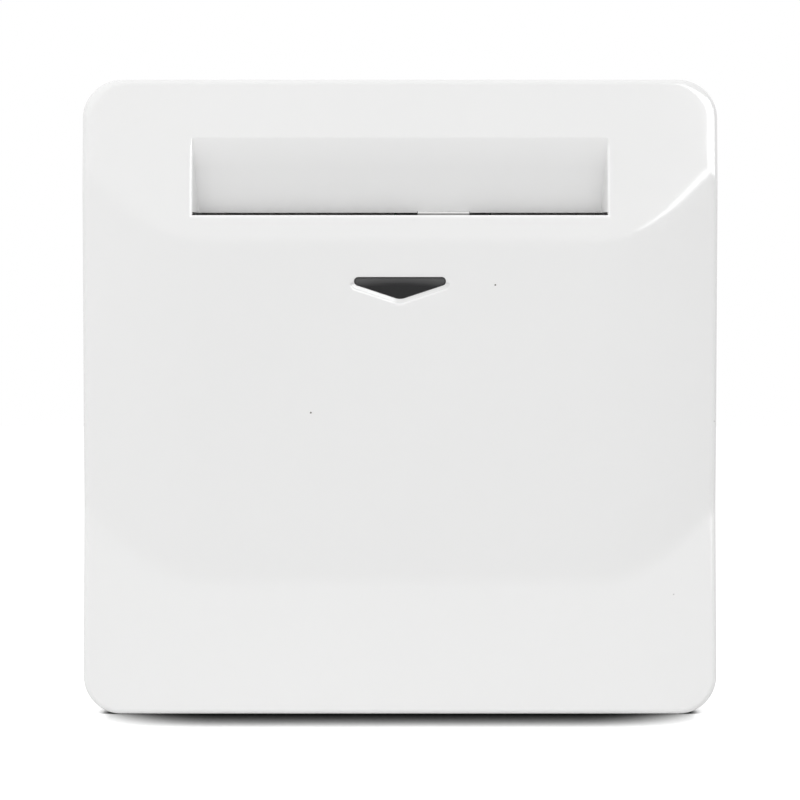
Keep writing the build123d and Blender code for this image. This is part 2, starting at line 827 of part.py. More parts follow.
def twin_pins(place, pitch):
    return [(place[0] - pitch / 2, place[1]), (place[0] + pitch / 2, place[1])]


def relay_pin_places():
    return [(relay_place[0] + x, relay_place[1] + z) for x, z in relay_pins]


def led_pins():
    return [(-led_lead_pitch, led_z), (led_lead_pitch, led_z)]


def all_pin_places():
    places = switch_pins() + relay_pin_places() + twin_pins(film_cap_place, film_cap_pin_pitch)
    for place in can_places:
        places += twin_pins(place, can_pin_pitch)
    places += twin_pins(varistor_place, varistor_pin_pitch)
    places += axial_leads([resistor_place], resistor_len)
    places += axial_leads(diode_places, diode_len)
    return places


def circuit_board():
    board = housing_prism(-(housing_wall + board_margin), board_back_depth, board_front_depth, False)
    for x, z in all_pin_places():
        board -= rod(x, z, lead_r + lead_hole_fit, board_back_depth - 1, board_front_depth + 1)
    for x, z in led_pins():
        board -= rod(x, z, led_lead_r + led_lead_fit, board_back_depth - 1, board_front_depth + 1)
    for x, z in post_places():
        board -= rod(x, z, body_hole_r, board_back_depth - 1, board_front_depth + 1)
    for x in terminal_places:
        board -= terminal_leg(x, lead_hole_fit)
    return board


def soft_block(place, size, radius):
    x, z = place
    width, height, deep = size
    body = block(
        x - width / 2, x + width / 2, board_back_depth - deep, board_back_depth, z - height / 2, z + height / 2
    )
    edges = [e for e in body.edges() if (e @ 0.5).Y > -board_back_depth + 0.01]
    return fillet(edges, radius)


def relay():
    body = soft_block(relay_place, relay_size, relay_edge_r)
    return body + leads(relay_pin_places(), board_back_depth, board_front_depth + lead_out)


def film_capacitor():
    body = soft_block(film_cap_place, film_cap_size, film_cap_edge_r)
    pins = twin_pins(film_cap_place, film_cap_pin_pitch)
    return body + leads(pins, board_back_depth, board_front_depth + lead_out)


def electrolytic(place):
    x, z = place
    end = board_back_depth - can_len
    can = rod(x, z, can_r, board_back_depth, end)
    can = fillet(can.edges(), can_bead_r)
    groove = Plane(origin=(x, can_groove_up - board_back_depth, z), z_dir=(0, 1, 0))
    can -= groove * Torus(can_r + can_groove_out, can_bead_r)
    reach = can_r * 0.7
    half = can_score / 2
    can -= block(x - reach, x + reach, end - 1, end + can_score, z - half, z + half)
    can -= block(x - half, x + half, end - 1, end + can_score, z - reach, z + reach)
    return can + leads(twin_pins(place, can_pin_pitch), board_back_depth, board_front_depth + lead_out)


def varistor():
    x, z = varistor_place
    middle = board_back_depth - varistor_stand - varistor_r
    disc = extrude(
        Plane(origin=(x, -middle, z - varistor_t / 2), z_dir=(0, 0, 1)) * Circle(varistor_r), varistor_t
    )
    disc = fillet(disc.edges(), 1.2)
    return disc + leads(twin_pins(varistor_place, varistor_pin_pitch), middle, board_front_depth + lead_out)


# Part that lies along X, with its two leads bent down through the board
def axial_part(place, radius, length):
    x, z = place
    middle = board_back_depth - axial_stand - radius
    body = cross_rod(middle, z, radius, x - length / 2, x + length / 2)
    body = fillet(body.edges(), 0.35)
    reach = length / 2 + axial_lead_out
    body += cross_rod(middle, z, lead_r, x - reach, x + reach)
    for side in (-1, 1):
        body += Pos(x + side * reach, -middle, z) * Sphere(lead_r)
    return body + leads(axial_leads([place], length), middle, board_front_depth + lead_out)


# Eight-legged timer chip on the front of the board
def timer_chip():
    x, z = chip_place
    width, height, thick = chip_size
    chip_front = board_front_depth + chip_stand + thick
    x0 = x - width / 2
    z0 = z - height / 2
    body = block(x0, x0 + width, board_front_depth + chip_stand, chip_front, z0, z0 + height)
    body = chamfer(body.edges(), 0.2)
    for step in (-1.5, -0.5, 0.5, 1.5):
        leg_x = x + step * chip_leg_pitch
        for side in (-1, 1):
            root = z + side * (height / 2 - 0.3)
            toe = z + side * (height / 2 + 1.0)
            low, high = min(root, toe), max(root, toe)
            knee = z + side * (height / 2 + 0.4)
            body += block(leg_x - 0.2, leg_x + 0.2, chip_front - 0.9, chip_front - 0.7, *sorted((root, knee)))
            body += block(
                leg_x - 0.2, leg_x + 0.2, board_front_depth, chip_front - 0.7, *sorted((knee, knee - side * 0.2))
            )
            body += block(
                leg_x - 0.2, leg_x + 0.2, board_front_depth, board_front_depth + 0.2, *sorted((knee, toe))
            )
    return body


def led():
    lamp = rod(0, led_z, led_r, led_base_depth, led_tip_depth - led_r)
    lamp += Pos(0, -(led_tip_depth - led_r), led_z) * Sphere(led_r)
    lamp += rod(0, led_z, led_flange_r, led_base_depth, led_base_depth + led_flange_t)
    for x, z in led_pins():
        lamp += rod(x, z, led_lead_r, board_back_depth - lead_out, led_base_depth)
    return lamp


def led_spacer():
    spacer = rod(0, led_z, led_spacer_r, board_front_depth, led_base_depth)
    for x, z in led_pins():
        spacer -= rod(x, z, led_lead_r + led_lead_fit, board_front_depth - 1, led_base_depth + 1)
    return spacer


def terminal_leg(x, grown=0.0):
    half = terminal_leg_w / 2 + grown
    z0 = terminal_z - terminal_leg_t / 2 - grown
    z1 = terminal_z + terminal_leg_t / 2 + grown
    return block(x - half, x + half, terminal_front_depth, board_front_depth + lead_out, z0, z1)


# Brass block with a wire hole from below and a screw hole from behind
def terminal(x):
    z1 = terminal_low_z + terminal_h
    body = block(
        x - terminal_w / 2, x + terminal_w / 2, terminal_back_depth, terminal_front_depth, terminal_low_z, z1
    )
    body = chamfer(body.edges(), 0.4)
    bore = Plane(origin=(x, -wire_depth, terminal_low_z - 1), z_dir=(0, 0, 1)) * Circle(wire_r)
    body -= extrude(bore, terminal_h - wire_stop_t + 1)
    body -= rod(x, terminal_z, terminal_screw_r + thread_fit, terminal_back_depth - 1, wire_depth)
    return body + terminal_leg(x)


def terminal_screw(x):
    seat = terminal_back_depth - terminal_screw_out
    length = wire_depth - wire_r - 0.1 - seat
    return screw(x, terminal_z, seat, 1, terminal_screw_head_r, terminal_screw_head_h, terminal_screw_r, length)


parts = {
    "front_cover": front_cover(),
    "arrow_lens": arrow_lens(),
    "card_guide": card_guide(),
    "mounting_frame": mounting_frame(),
    "rear_housing": rear_housing(),
    "housing_lid": housing_lid(),
    "trip_lever": trip_lever(),
    "lever_pin": lever_pin(),
    "lever_spring": lever_spring(),
    "switch_body": switch_body(),
    "switch_plunger": switch_plunger(),
    "circuit_board": circuit_board(),
    "led": led(),
    "led_spacer": led_spacer(),
    "relay": relay(),
    "film_capacitor": film_capacitor(),
    "varistor": varistor(),
    "resistor": axial_part(resistor_place, resistor_r, resistor_len),
    "timer_chip": timer_chip(),
}
for count, place in enumerate(can_places, 1):
    parts[f"electrolytic_{count}"] = electrolytic(place)
for count, place in enumerate(diode_places, 1):
    parts[f"diode_{count}"] = axial_part(place, diode_r, diode_len)
for count, x in enumerate(terminal_places, 1):
    parts[f"terminal_{count}"] = terminal(x)
    parts[f"terminal_screw_{count}"] = terminal_screw(x)
for name, screws in (("guide_screw", guide_screws()), ("frame_screw", frame_screws()), ("lid_screw", lid_screws())):
    for count, item in enumerate(screws, 1):
        parts[f"{name}_{count}"] = item

for name, shape in parts.items():
    solids = shape.solids()
    print(name, "valid" if shape.is_valid else "NOT VALID", len(solids), round(shape.volume, 2))
    export_step(shape, f"parts/{name}.step")
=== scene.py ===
import json
import math

import bmesh
import bpy
import numpy as np
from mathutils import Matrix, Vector


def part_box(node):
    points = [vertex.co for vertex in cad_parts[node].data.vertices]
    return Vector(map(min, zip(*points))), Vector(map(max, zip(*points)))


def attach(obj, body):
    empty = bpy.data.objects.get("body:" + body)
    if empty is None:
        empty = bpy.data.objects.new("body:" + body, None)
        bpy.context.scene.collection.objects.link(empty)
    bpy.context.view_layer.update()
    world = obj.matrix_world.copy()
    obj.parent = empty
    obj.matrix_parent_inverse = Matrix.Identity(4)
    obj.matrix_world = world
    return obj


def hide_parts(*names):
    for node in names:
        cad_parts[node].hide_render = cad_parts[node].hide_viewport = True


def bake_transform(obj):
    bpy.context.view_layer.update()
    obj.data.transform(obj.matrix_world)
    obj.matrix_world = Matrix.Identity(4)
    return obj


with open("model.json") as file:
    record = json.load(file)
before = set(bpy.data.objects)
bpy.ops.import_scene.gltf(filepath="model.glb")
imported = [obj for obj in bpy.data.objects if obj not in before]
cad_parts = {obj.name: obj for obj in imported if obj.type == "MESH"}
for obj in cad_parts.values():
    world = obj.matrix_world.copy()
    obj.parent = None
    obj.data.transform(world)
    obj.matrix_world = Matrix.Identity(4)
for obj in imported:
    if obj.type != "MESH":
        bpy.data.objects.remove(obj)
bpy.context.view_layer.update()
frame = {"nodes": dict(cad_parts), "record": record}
mm = 0.001
behaviour = frame["record"]["behaviour"]
bodyOf = {node: body for body, members in behaviour["bodies"].items() for node in members}
slotOf = {row["node"]: row["material_slot"] for row in frame["record"]["subparts"]}


# Low and high corner of a CAD node in millimetres, as x, depth in front of the wall, z
def nodeBox(node):
    low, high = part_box(node)
    return np.array([low.x, -high.y, low.z]) / mm, np.array([high.x, -low.y, high.z]) / mm


# Shader groups are built once and placed in each material
def newGroup(name, inputs, outputs):
    group = bpy.data.node_groups.new(name, "ShaderNodeTree")
    for title, value in inputs.items():
        socket = group.interface.new_socket(title, in_out="INPUT", socket_type="NodeSocketFloat")
        socket.default_value = value
    for title in outputs:
        group.interface.new_socket(title, in_out="OUTPUT", socket_type="NodeSocketFloat")
    return group, addNode(group, "NodeGroupInput").outputs, addNode(group, "NodeGroupOutput")


def addNode(tree, kind, **values):
    node = tree.nodes.new(kind)
    for title, value in values.items():
        setattr(node, title, value)
    return node


# A socket takes a value, or a link where what it is given is another socket
def feed(socket, source):
    if isinstance(source, bpy.types.NodeSocket):
        socket.id_data.links.new(source, socket)
    else:
        socket.default_value = source


# Feeds a node's inputs by their titles, with an underscore for a space
def setInputs(node, **sources):
    for title, source in sources.items():
        feed(node.inputs[title.replace("_", " ")], source)
    return node


def sums(tree, operation, *terms, clamp=False):
    node = addNode(tree, "ShaderNodeMath", operation=operation, use_clamp=clamp)
    for socket, term in zip(node.inputs, terms):
        feed(socket, term)
    return node.outputs[0]


def objectPlace(tree):
    return addNode(tree, "ShaderNodeTexCoord").outputs["Object"]


def splitPlace(tree):
    return setInputs(addNode(tree, "ShaderNodeSeparateXYZ"), Vector=objectPlace(tree)).outputs


def noiseAt(tree, place, scale, octaves):
    noise = addNode(tree, "ShaderNodeTexNoise")
    return setInputs(noise, Vector=place, Scale=scale, Detail=octaves).outputs["Fac"]


# Fine orange peel of a moulded face as a height, and a slow drift of tone
def makeMouldFinish():
    scales = {"Peel Scale": 900.0, "Drift Scale": 35.0}
    group, entry, leave = newGroup("mouldFinish", scales, ("Height", "Tone"))
    place = objectPlace(group)
    peel = noiseAt(group, place, entry["Peel Scale"], octaves=3.0)
    drift = noiseAt(group, place, entry["Drift Scale"], octaves=2.0)
    setInputs(leave, Height=peel, Tone=drift)
    return group


# Sparse dust: a speck sits in a Voronoi cell whose random colour is below Share, and is as wide as Size
def makeDustSpecks():
    group, entry, leave = newGroup("dustSpecks", {"Scale": 160.0, "Size": 0.05, "Share": 0.03}, ("Mask",))
    cells = addNode(group, "ShaderNodeTexVoronoi", feature="F1")
    setInputs(cells, Vector=objectPlace(group), Scale=entry["Scale"])
    split = setInputs(addNode(group, "ShaderNodeSeparateColor"), Color=cells.outputs["Color"])
    near = sums(group, "LESS_THAN", cells.outputs["Distance"], entry["Size"])
    rare = sums(group, "LESS_THAN", split.outputs["Red"], entry["Share"])
    setInputs(leave, Mask=sums(group, "MULTIPLY", near, rare))
    return group


# Rubbed patches: a soft threshold of slow noise, for gloss that differs where hands touch
def makeHandling():
    group, entry, leave = newGroup("handling", {"Scale": 30.0, "Sharpness": 4.0}, ("Mask",))
    noise = noiseAt(group, objectPlace(group), entry["Scale"], octaves=5.0)
    steep = sums(group, "MULTIPLY", sums(group, "SUBTRACT", noise, 0.5), entry["Sharpness"])
    setInputs(leave, Mask=sums(group, "ADD", steep, 0.5, clamp=True))
    return group


# Marks kept on the mesh, each broken up a little by noise: "edge" is 1 where a painted highlight lies along
# an edge, and "corner" is 1 where painted shade lies in a hollow where two faces meet
def makeMeshMarks():
    group, entry, leave = newGroup("meshMarks", {"Scale": 400.0, "Break Up": 0.2}, ("Edge", "Corner"))
    noise = noiseAt(group, objectPlace(group), entry["Scale"], octaves=2.0)
    kept = sums(group, "SUBTRACT", 1.0, sums(group, "MULTIPLY", noise, entry["Break Up"]))
    for title in ("Edge", "Corner"):
        mark = addNode(group, "ShaderNodeAttribute", attribute_type="GEOMETRY", attribute_name=title.lower())
        feed(leave.inputs[title], sums(group, "MULTIPLY", mark.outputs["Fac"], kept, clamp=True))
    return group


# Drawing marks on metal: noise stretched along Y as a height, and a blotchy tone
def makeDrawnMetal():
    scales = {"Scale": 500.0, "Blotch Scale": 220.0}
    group, entry, leave = newGroup("drawnMetal", scales, ("Height", "Tone"))
    place = objectPlace(group)
    stretch = setInputs(addNode(group, "ShaderNodeMapping"), Vector=place, Scale=(1.0, 0.12, 1.0))
    marks = noiseAt(group, stretch.outputs["Vector"], entry["Scale"], octaves=2.0)
    blotches = noiseAt(group, place, entry["Blotch Scale"], octaves=2.0)
    setInputs(leave, Height=marks, Tone=blotches)
    return group


mouldFinish = makeMouldFinish()
dustSpecks = makeDustSpecks()
handling = makeHandling()
meshMarks = makeMeshMarks()
drawnMetal = makeDrawnMetal()

# Values that the materials share
surface = dict(
    bumpDepth=0.00002,
    driftScale=35.0,
    handScale=42.0,
    handSharpness=3.0,
    markScale=400.0,
    markBreakUp=0.15,
    hollowShade=0.72,
    speckScale=200.0,
    speckSize=0.026,
    speckColour=(0.16, 0.15, 0.14),
    drawnScale=900.0,
    blotchScale=300.0,
    tarnishGloss=0.18,
    drawnBump=0.35,
    resinPeel=700.0,
    resinDriftScale=180.0,
    resinDrift=0.12,
    resinBump=0.03,
    resinIndex=1.49,
    weaveScale=900.0,
    weaveBump=0.15,
)


def placeGroup(tree, group, **values):
    return setInputs(addNode(tree, "ShaderNodeGroup", node_tree=group), **values).outputs


def ramp(tree, source, *stops):
    node = setInputs(addNode(tree, "ShaderNodeValToRGB"), Fac=source)
    for element, (place, colour) in zip(node.color_ramp.elements, stops):
        element.position = place
        element.color = (*colour, 1.0)
    return node.outputs["Color"]


def shade(colour, factor):
    return tuple(min(1.0, channel * factor) for channel in colour)


# Colour that drifts with a tone by the given share to both sides
def drifting(tree, tone, colour, drift):
    return ramp(tree, tone, (0.3, shade(colour, 1 - drift)), (0.7, shade(colour, 1 + drift)))


def blendColour(tree, mask, under, over):
    mix = addNode(tree, "ShaderNodeMix", data_type="RGBA")
    return setInputs(mix, Factor=mask, A=under, B=(*over, 1.0)).outputs["Result"]


def startMaterial(name, roughness, **values):
    material = bpy.data.materials.new(name)
    material.use_nodes = True
    tree = material.node_tree
    return material, tree, setInputs(tree.nodes["Principled BSDF"], Roughness=roughness, **values)


def bumpFrom(tree, height, strength):
    bump = addNode(tree, "ShaderNodeBump")
    setInputs(bump, Height=height, Strength=strength, Distance=surface["bumpDepth"])
    return bump.outputs["Normal"]


# Moulded plastic: the colour drifts a little, and the face has peel and rubbed patches.
# Dust specks, a painted highlight along edges and painted shade in hollows are only on the faces that a hand
# or an eye meets first. A painted shadow line lies at a height in metres: its strength is its core less the
# distance over half its width
def mouldedPlastic(
    name, colour, low, high, peel=900.0, bump=0.05, drift=0.012, dust=0.0, highlightColour=None, shadowLine=None
):
    s = surface
    material, tree, shader = startMaterial(name, low)
    finish = placeGroup(tree, mouldFinish, Peel_Scale=peel, Drift_Scale=s["driftScale"])
    hands = placeGroup(tree, handling, Scale=s["handScale"], Sharpness=s["handSharpness"])
    tone = drifting(tree, finish["Tone"], colour, drift)
    if highlightColour:
        marks = placeGroup(tree, meshMarks, Scale=s["markScale"], Break_Up=s["markBreakUp"])
        # Painted shade in the hollows, then a painted highlight along the edges in the given pale colour
        tone = blendColour(tree, marks["Corner"], tone, shade(colour, s["hollowShade"]))
        tone = blendColour(tree, marks["Edge"], tone, highlightColour)
    # Painted shadow: a dark line at a height, where a part passes behind another
    if shadowLine:
        d = shadowLine
        away = sums(tree, "ABSOLUTE", sums(tree, "SUBTRACT", splitPlace(tree)["Z"], d["height"]))
        near = sums(tree, "MULTIPLY_ADD", away, -1 / d["halfWidth"], d["core"], clamp=True)
        tone = blendColour(tree, near, tone, shade(colour, d["shade"]))
    if dust:
        specks = placeGroup(tree, dustSpecks, Scale=s["speckScale"], Size=s["speckSize"], Share=dust)
        tone = blendColour(tree, specks["Mask"], tone, s["speckColour"])
    gloss = sums(tree, "ADD", sums(tree, "MULTIPLY", hands["Mask"], high - low), low)
    setInputs(shader, Base_Color=tone, Roughness=gloss, Normal=bumpFrom(tree, finish["Height"], bump))
    return material


# Plated or turned metal with drawing marks, and tarnish between two tones
def platedMetal(name, colour, tarnish, roughness):
    s = surface
    material, tree, shader = startMaterial(name, roughness, Metallic=1.0)
    marks = placeGroup(tree, drawnMetal, Scale=s["drawnScale"], Blotch_Scale=s["blotchScale"])
    tone = ramp(tree, marks["Tone"], (0.35, tarnish), (0.65, colour))
    spread = sums(tree, "MULTIPLY", marks["Tone"], s["tarnishGloss"])
    gloss = sums(tree, "ADD", spread, roughness - s["tarnishGloss"] / 2)
    normal = bumpFrom(tree, marks["Height"], s["drawnBump"])
    setInputs(shader, Base_Color=tone, Roughness=gloss, Normal=normal)
    return material


# Clear or smoked resin: transmission stays plain, and only the tint moves over the surface.
# Where a pale edge is given, the tint turns pale from fadeFrom to fadeTo, in metres of z + fadeBow x x
def castResin(
    name, colour, transmission, roughness, specular=0.5, paleEdge=None, fadeFrom=0.0, fadeTo=1.0, fadeBow=0.0
):
    s = surface
    material, tree, shader = startMaterial(name, roughness)
    finish = placeGroup(tree, mouldFinish, Peel_Scale=s["resinPeel"], Drift_Scale=s["resinDriftScale"])
    tone = drifting(tree, finish["Tone"], colour, s["resinDrift"])
    if paleEdge:
        place = splitPlace(tree)
        bow = sums(tree, "MULTIPLY", place["X"], place["X"])
        rise = sums(tree, "SUBTRACT", sums(tree, "MULTIPLY_ADD", bow, fadeBow, place["Z"]), fadeFrom)
        paler = sums(tree, "DIVIDE", rise, fadeTo - fadeFrom, clamp=True)
        tone = blendColour(tree, paler, tone, paleEdge)
    normal = bumpFrom(tree, finish["Height"], s["resinBump"])
    setInputs(shader, Base_Color=tone, Normal=normal, IOR=s["resinIndex"])
    setInputs(shader, Specular_IOR_Level=specular, Transmission_Weight=transmission)
    return material


# Printed board: a green mask over a woven base, both from one fine diagonal wave
def maskedBoard(name):
    material, tree, shader = startMaterial(name, roughness=0.42)
    weave = addNode(tree, "ShaderNodeTexWave", wave_type="BANDS", bands_direction="DIAGONAL")
    setInputs(weave, Vector=objectPlace(tree), Scale=surface["weaveScale"], Distortion=1.5)
    wave = weave.outputs["Fac"]
    tone = ramp(tree, wave, (0.2, (0.012, 0.11, 0.035)), (0.8, (0.02, 0.16, 0.055)))
    setInputs(shader, Base_Color=tone, Normal=bumpFrom(tree, wave, surface["weaveBump"]))
    return material


# The pale colour for the cover's edges is a painted highlight, and it also brings painted shade into the
# recess
coverFinish = dict(low=0.09, high=0.14, bump=0.03, drift=0.004, dust=0.6, highlightColour=(0.97, 0.97, 0.97))
matt = dict(low=0.42, high=0.56, peel=1400.0, bump=0.3)
satin = dict(low=0.3, high=0.42, peel=1200.0, bump=0.18)
dipped = dict(low=0.2, high=0.34, peel=700.0, bump=0.2, drift=0.06)
smoke = dict(specular=0.4, paleEdge=(0.09, 0.09, 0.091), fadeFrom=0.0151, fadeTo=0.0161, fadeBow=12.0)
# Painted shadow line across the lever's tab, where it passes behind the lip of the slot
lipShadow = dict(height=0.02475, halfWidth=0.00014, core=1.6, shade=0.3)
finishes = {
    "cover_white": mouldedPlastic("coverGloss", (0.86, 0.86, 0.857), **coverFinish),
    "lens_smoke": castResin("lensSmoke", (0.006, 0.006, 0.007), 0.1, 0.1, **smoke),
    "inner_white": mouldedPlastic("innerMatt", (0.78, 0.78, 0.76), **matt),
    "housing_white": mouldedPlastic("housingMatt", (0.74, 0.74, 0.715), drift=0.02, **matt),
    "lever_grey": mouldedPlastic("leverSatin", (0.82, 0.82, 0.81), shadowLine=lipShadow, **satin),
    "switch_black": mouldedPlastic("switchBlack", (0.022, 0.022, 0.023), drift=0.08, **matt),
    "plunger_red": mouldedPlastic("plungerRed", (0.42, 0.035, 0.025), drift=0.05, **satin),
    "board_green": maskedBoard("boardMask"),
    "led_clear": castResin("ledEpoxy", (0.72, 0.82, 0.88), 0.75, 0.05),
    "relay_blue": mouldedPlastic("relayBlue", (0.03, 0.09, 0.28), drift=0.05, **satin),
    "film_yellow": mouldedPlastic("filmYellow", (0.62, 0.4, 0.05), **dipped),
    "can_sleeve": mouldedPlastic("canSleeve", (0.03, 0.035, 0.07), **dipped),
    "varistor_blue": mouldedPlastic("varistorDip", (0.03, 0.1, 0.36), **dipped),
    "resistor_grey": mouldedPlastic("resistorCoat", (0.25, 0.25, 0.23), drift=0.08, **matt),
    "steel": platedMetal("zincSteel", (0.66, 0.67, 0.68), (0.5, 0.51, 0.53), 0.3),
    "brass": platedMetal("terminalBrass", (0.78, 0.58, 0.28), (0.6, 0.42, 0.19), 0.32),
}
print("stage:", len(finishes), "materials made")


def newObject(name, data):
    made = bpy.data.objects.new(name, data)
    bpy.context.scene.collection.objects.link(made)
    return made


# Shapes are worked out in millimetres as x, depth in front of the wall, z
def makePiece(name, points, faces, node, slot=None, sharpAngle=35.0, between=None):
    places = np.column_stack([points[:, 0], -points[:, 1], points[:, 2]]) * mm
    mesh = bpy.data.meshes.new(name)
    mesh.from_pydata(places.tolist(), [], splitFaces(faces))
    work = bmesh.new()
    work.from_mesh(mesh)
    bmesh.ops.remove_doubles(work, verts=work.verts, dist=1e-7)
    bmesh.ops.recalc_face_normals(work, faces=work.faces)
    work.to_mesh(mesh)
    work.free()
    return finishPiece(name, mesh, node, slot or slotOf[node], sharpAngle, between)


# Smooth faces with only the steep edges sharp, the slot's finish, and the body the node rides on. A piece
# between two bodies has its place baked into its points instead, and rides on neither
def finishPiece(name, mesh, node, slot, sharpAngle, between=None):
    mesh.polygons.foreach_set("use_smooth", np.ones(len(mesh.polygons), bool))
    mesh.set_sharp_from_angle(angle=math.radians(sharpAngle))
    mesh.materials.clear()
    mesh.materials.append(finishes[slot])
    piece = newObject(name, mesh)
    if between:
        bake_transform(piece)
    else:
        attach(piece, bodyOf[node])
    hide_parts(node)
    return piece


# Quads that repeat a corner become triangles
def splitFaces(faces):
    repeats = faces == np.roll(faces, -1, axis=1)
    parts = faces[~repeats.any(axis=1)].tolist()
    for column in range(4):
        alone = repeats[:, column] & (repeats.sum(axis=1) == 1)
        parts += np.delete(faces[alone], column, axis=1).tolist()
    return parts


# Quads between neighbouring rows and columns of points numbered row by row
def gridFaces(rows, columns, closed=False):
    across = columns if closed else columns - 1
    row, column = np.meshgrid(np.arange(rows - 1), np.arange(across), indexing="ij")
    first = row * columns + column
    second = row * columns + (column + 1) % columns
    return np.stack([first, second, second + columns, first + columns], axis=-1).reshape(-1, 4)


# Round piece about a line along Y: a profile of (radius, depth) pairs carried round the line
def turned(profile, x, z, around):
    profile = np.asarray(profile, float)
    turn = np.linspace(0, 2 * np.pi, around, endpoint=False)
    radius = profile[:, :1]
    points = [x + radius * np.cos(turn), profile[:, 1:] + 0 * turn, z + radius * np.sin(turn)]
    return np.stack(points, axis=-1).reshape(-1, 3), gridFaces(len(profile), around, closed=True)


# Points of a plan of x and z at the given depth
def atDepth(plan, depth):
    return np.column_stack([plan[:, 0], depth, plan[:, 1]])


def quarterTurn(count):
    return np.linspace(0, np.pi / 2, count)


def joinShapes(shapes):
    starts = np.cumsum([0] + [len(points) for points, _ in shapes[:-1]])
    points = np.concatenate([points for points, _ in shapes])
    return points, np.concatenate([faces + start for (_, faces), start in zip(shapes, starts)])


# Box with straight sides between two depth functions of z
def slopedBox(x0, x1, z0, z1, back, front):
    x = np.array([x0, x1, x1, x0] * 2, float)
    z = np.array([z0, z0, z1, z1] * 2, float)
    depth = np.where(np.arange(8) < 4, back(z), front(z))
    faces = np.array([[0, 1, 2, 3], [7, 6, 5, 4], [0, 4, 5, 1], [1, 5, 6, 2], [2, 6, 7, 3], [3, 7, 4, 0]])
    return np.column_stack([x, depth, z]), faces


# Closed piece from rows of one outline. A row has a share, which draws the outline in to the middle,
# a margin, which grows it, and a distance below the sloping face; both ends close at the middle
def stackedOutline(outlineAt, rows, middle, face):
    rows = np.asarray(rows, float)
    loops = np.stack([middle + (outlineAt(margin) - middle) * share for share, margin, _ in rows])
    below = rows[:, 2][:, None]
    points = np.stack([loops[..., 0], face(loops[..., 1]) - below, loops[..., 1]], axis=-1)
    return points.reshape(-1, 3), gridFaces(len(rows), loops.shape[1], closed=True)


# Front cover. Points within onLine of a border count as on it
onLine = 1e-6
cover = dict(
    half=nodeBox("front_cover")[1][0],
    cornerR=5.2,
    rimR=0.7,
    upperRimR=1.5,
    upperRimX=(36.5, 41.0),
    upperRimZ=(27.0, 33.0),
    wall=1.8,
    ridgeZ=21.0,
    ridgeDepth=14.6,
    valleyZ=-25.0,
    topSlope=0.10,
    midSlope=0.105,
    lowSlope=0.08,
    ridgeSoft=0.168,
    ridgeWiden=1.0,
    widenFrom=33.0,
    widenRun=6.0,
    valleySoft=0.205,
    sideFlat=26.0,
    sideDrop=1.95,
    upperRoll=0.11,
    slotHalf=28.1,
    lipZ=24.56,
    lipR=0.3,
    lipWall=1.45,
    cardGap=1.7,
    rampStart=24.99,
    rampSlope=0.20,
    rampWall=1.5,
    recessTop=35.12,
    recessDraft=0.3,
    rimFade=1.6,
    rimAbove=0.5,
    rimBelow=2.0,
    lipBack=1.0,
    footSoft=0.25,
    footLeast=0.02,
    notchHalf=4.0,
    notchDepth=1.1,
    leverLeft=2.32,
    leverRight=9.48,
    leverTop=25.17,
)


def softMin(first, second, width):
    return np.minimum(first, second) - np.clip(width - np.abs(first - second), 0, None) ** 2 / (4 * width)


def softMax(first, second, width):
    return -softMin(-first, -second, width)


# Smooth rise from 0 to 1 between two places
def smoothRise(value, places):
    share = np.clip((value - places[0]) / (places[1] - places[0]), 0, 1)
    return share**2 * (3 - 2 * share)


# Depth of the flat middle of the wave, straight in z
def middleDepth(z):
    return cover["ridgeDepth"] + cover["midSlope"] * (z - cover["ridgeZ"])


# Depth of the wave: the lower of the top and middle planes, or the low plane where that stands prouder;
# the middle plane rolls back along a circle beyond sideFlat, and the ridge gets softer out to the sides
def waveDepth(x, z):
    c = cover
    run = c["half"] - c["sideFlat"]
    rollR = (run**2 + c["sideDrop"] ** 2) / (2 * c["sideDrop"])
    roll = rollR - np.sqrt(rollR**2 - np.clip(np.abs(x) - c["sideFlat"], 0, None) ** 2)
    roll = roll * (1 + c["upperRoll"] * smoothRise(z, (0.0, c["ridgeZ"])))
    top = c["ridgeDepth"] - c["topSlope"] * (z - c["ridgeZ"])
    low = middleDepth(c["valleyZ"]) + c["lowSlope"] * (c["valleyZ"] - z)
    outward = np.clip((np.abs(x) - c["widenFrom"]) / c["widenRun"], 0, 1)
    ridge = softMin(top, middleDepth(z) - roll, c["ridgeSoft"] * (1 + c["ridgeWiden"] * outward))
    return softMax(ridge, low, c["valleySoft"])


# Distance in from the plate's rounded outline
def insetFromOutline(x, z):
    c = cover
    outX = np.abs(x) - c["half"] + c["cornerR"]
    outZ = np.abs(z) - c["half"] + c["cornerR"]
    both = np.hypot(np.clip(outX, 0, None), np.clip(outZ, 0, None))
    return c["cornerR"] - np.where(both > 0, both, np.maximum(outX, outZ))


# Radius of the rim: it grows to upperRimR round the upper corners and down their sides
def rimRadius(x, z):
    c = cover
    upper = smoothRise(np.abs(x), c["upperRimX"]) * smoothRise(z, c["upperRimZ"])
    return c["rimR"] + (c["upperRimR"] - c["rimR"]) * upper


# Drop of a quarter-round edge of the given radius at a distance in from that edge
def quarterRound(inset, radius):
    short = np.clip(radius - inset, 0, radius)
    return radius - np.sqrt(np.clip(radius**2 - short**2, 0, None))


# Back of the card's way: a plane that comes forward up to the top of the recess
def rampDepth(z):
    c = cover
    lipDepth = c["ridgeDepth"] - c["topSlope"] * (c["lipZ"] - c["ridgeZ"])
    return lipDepth - c["lipWall"] - c["cardGap"] + c["rampSlope"] * (z - c["lipZ"])


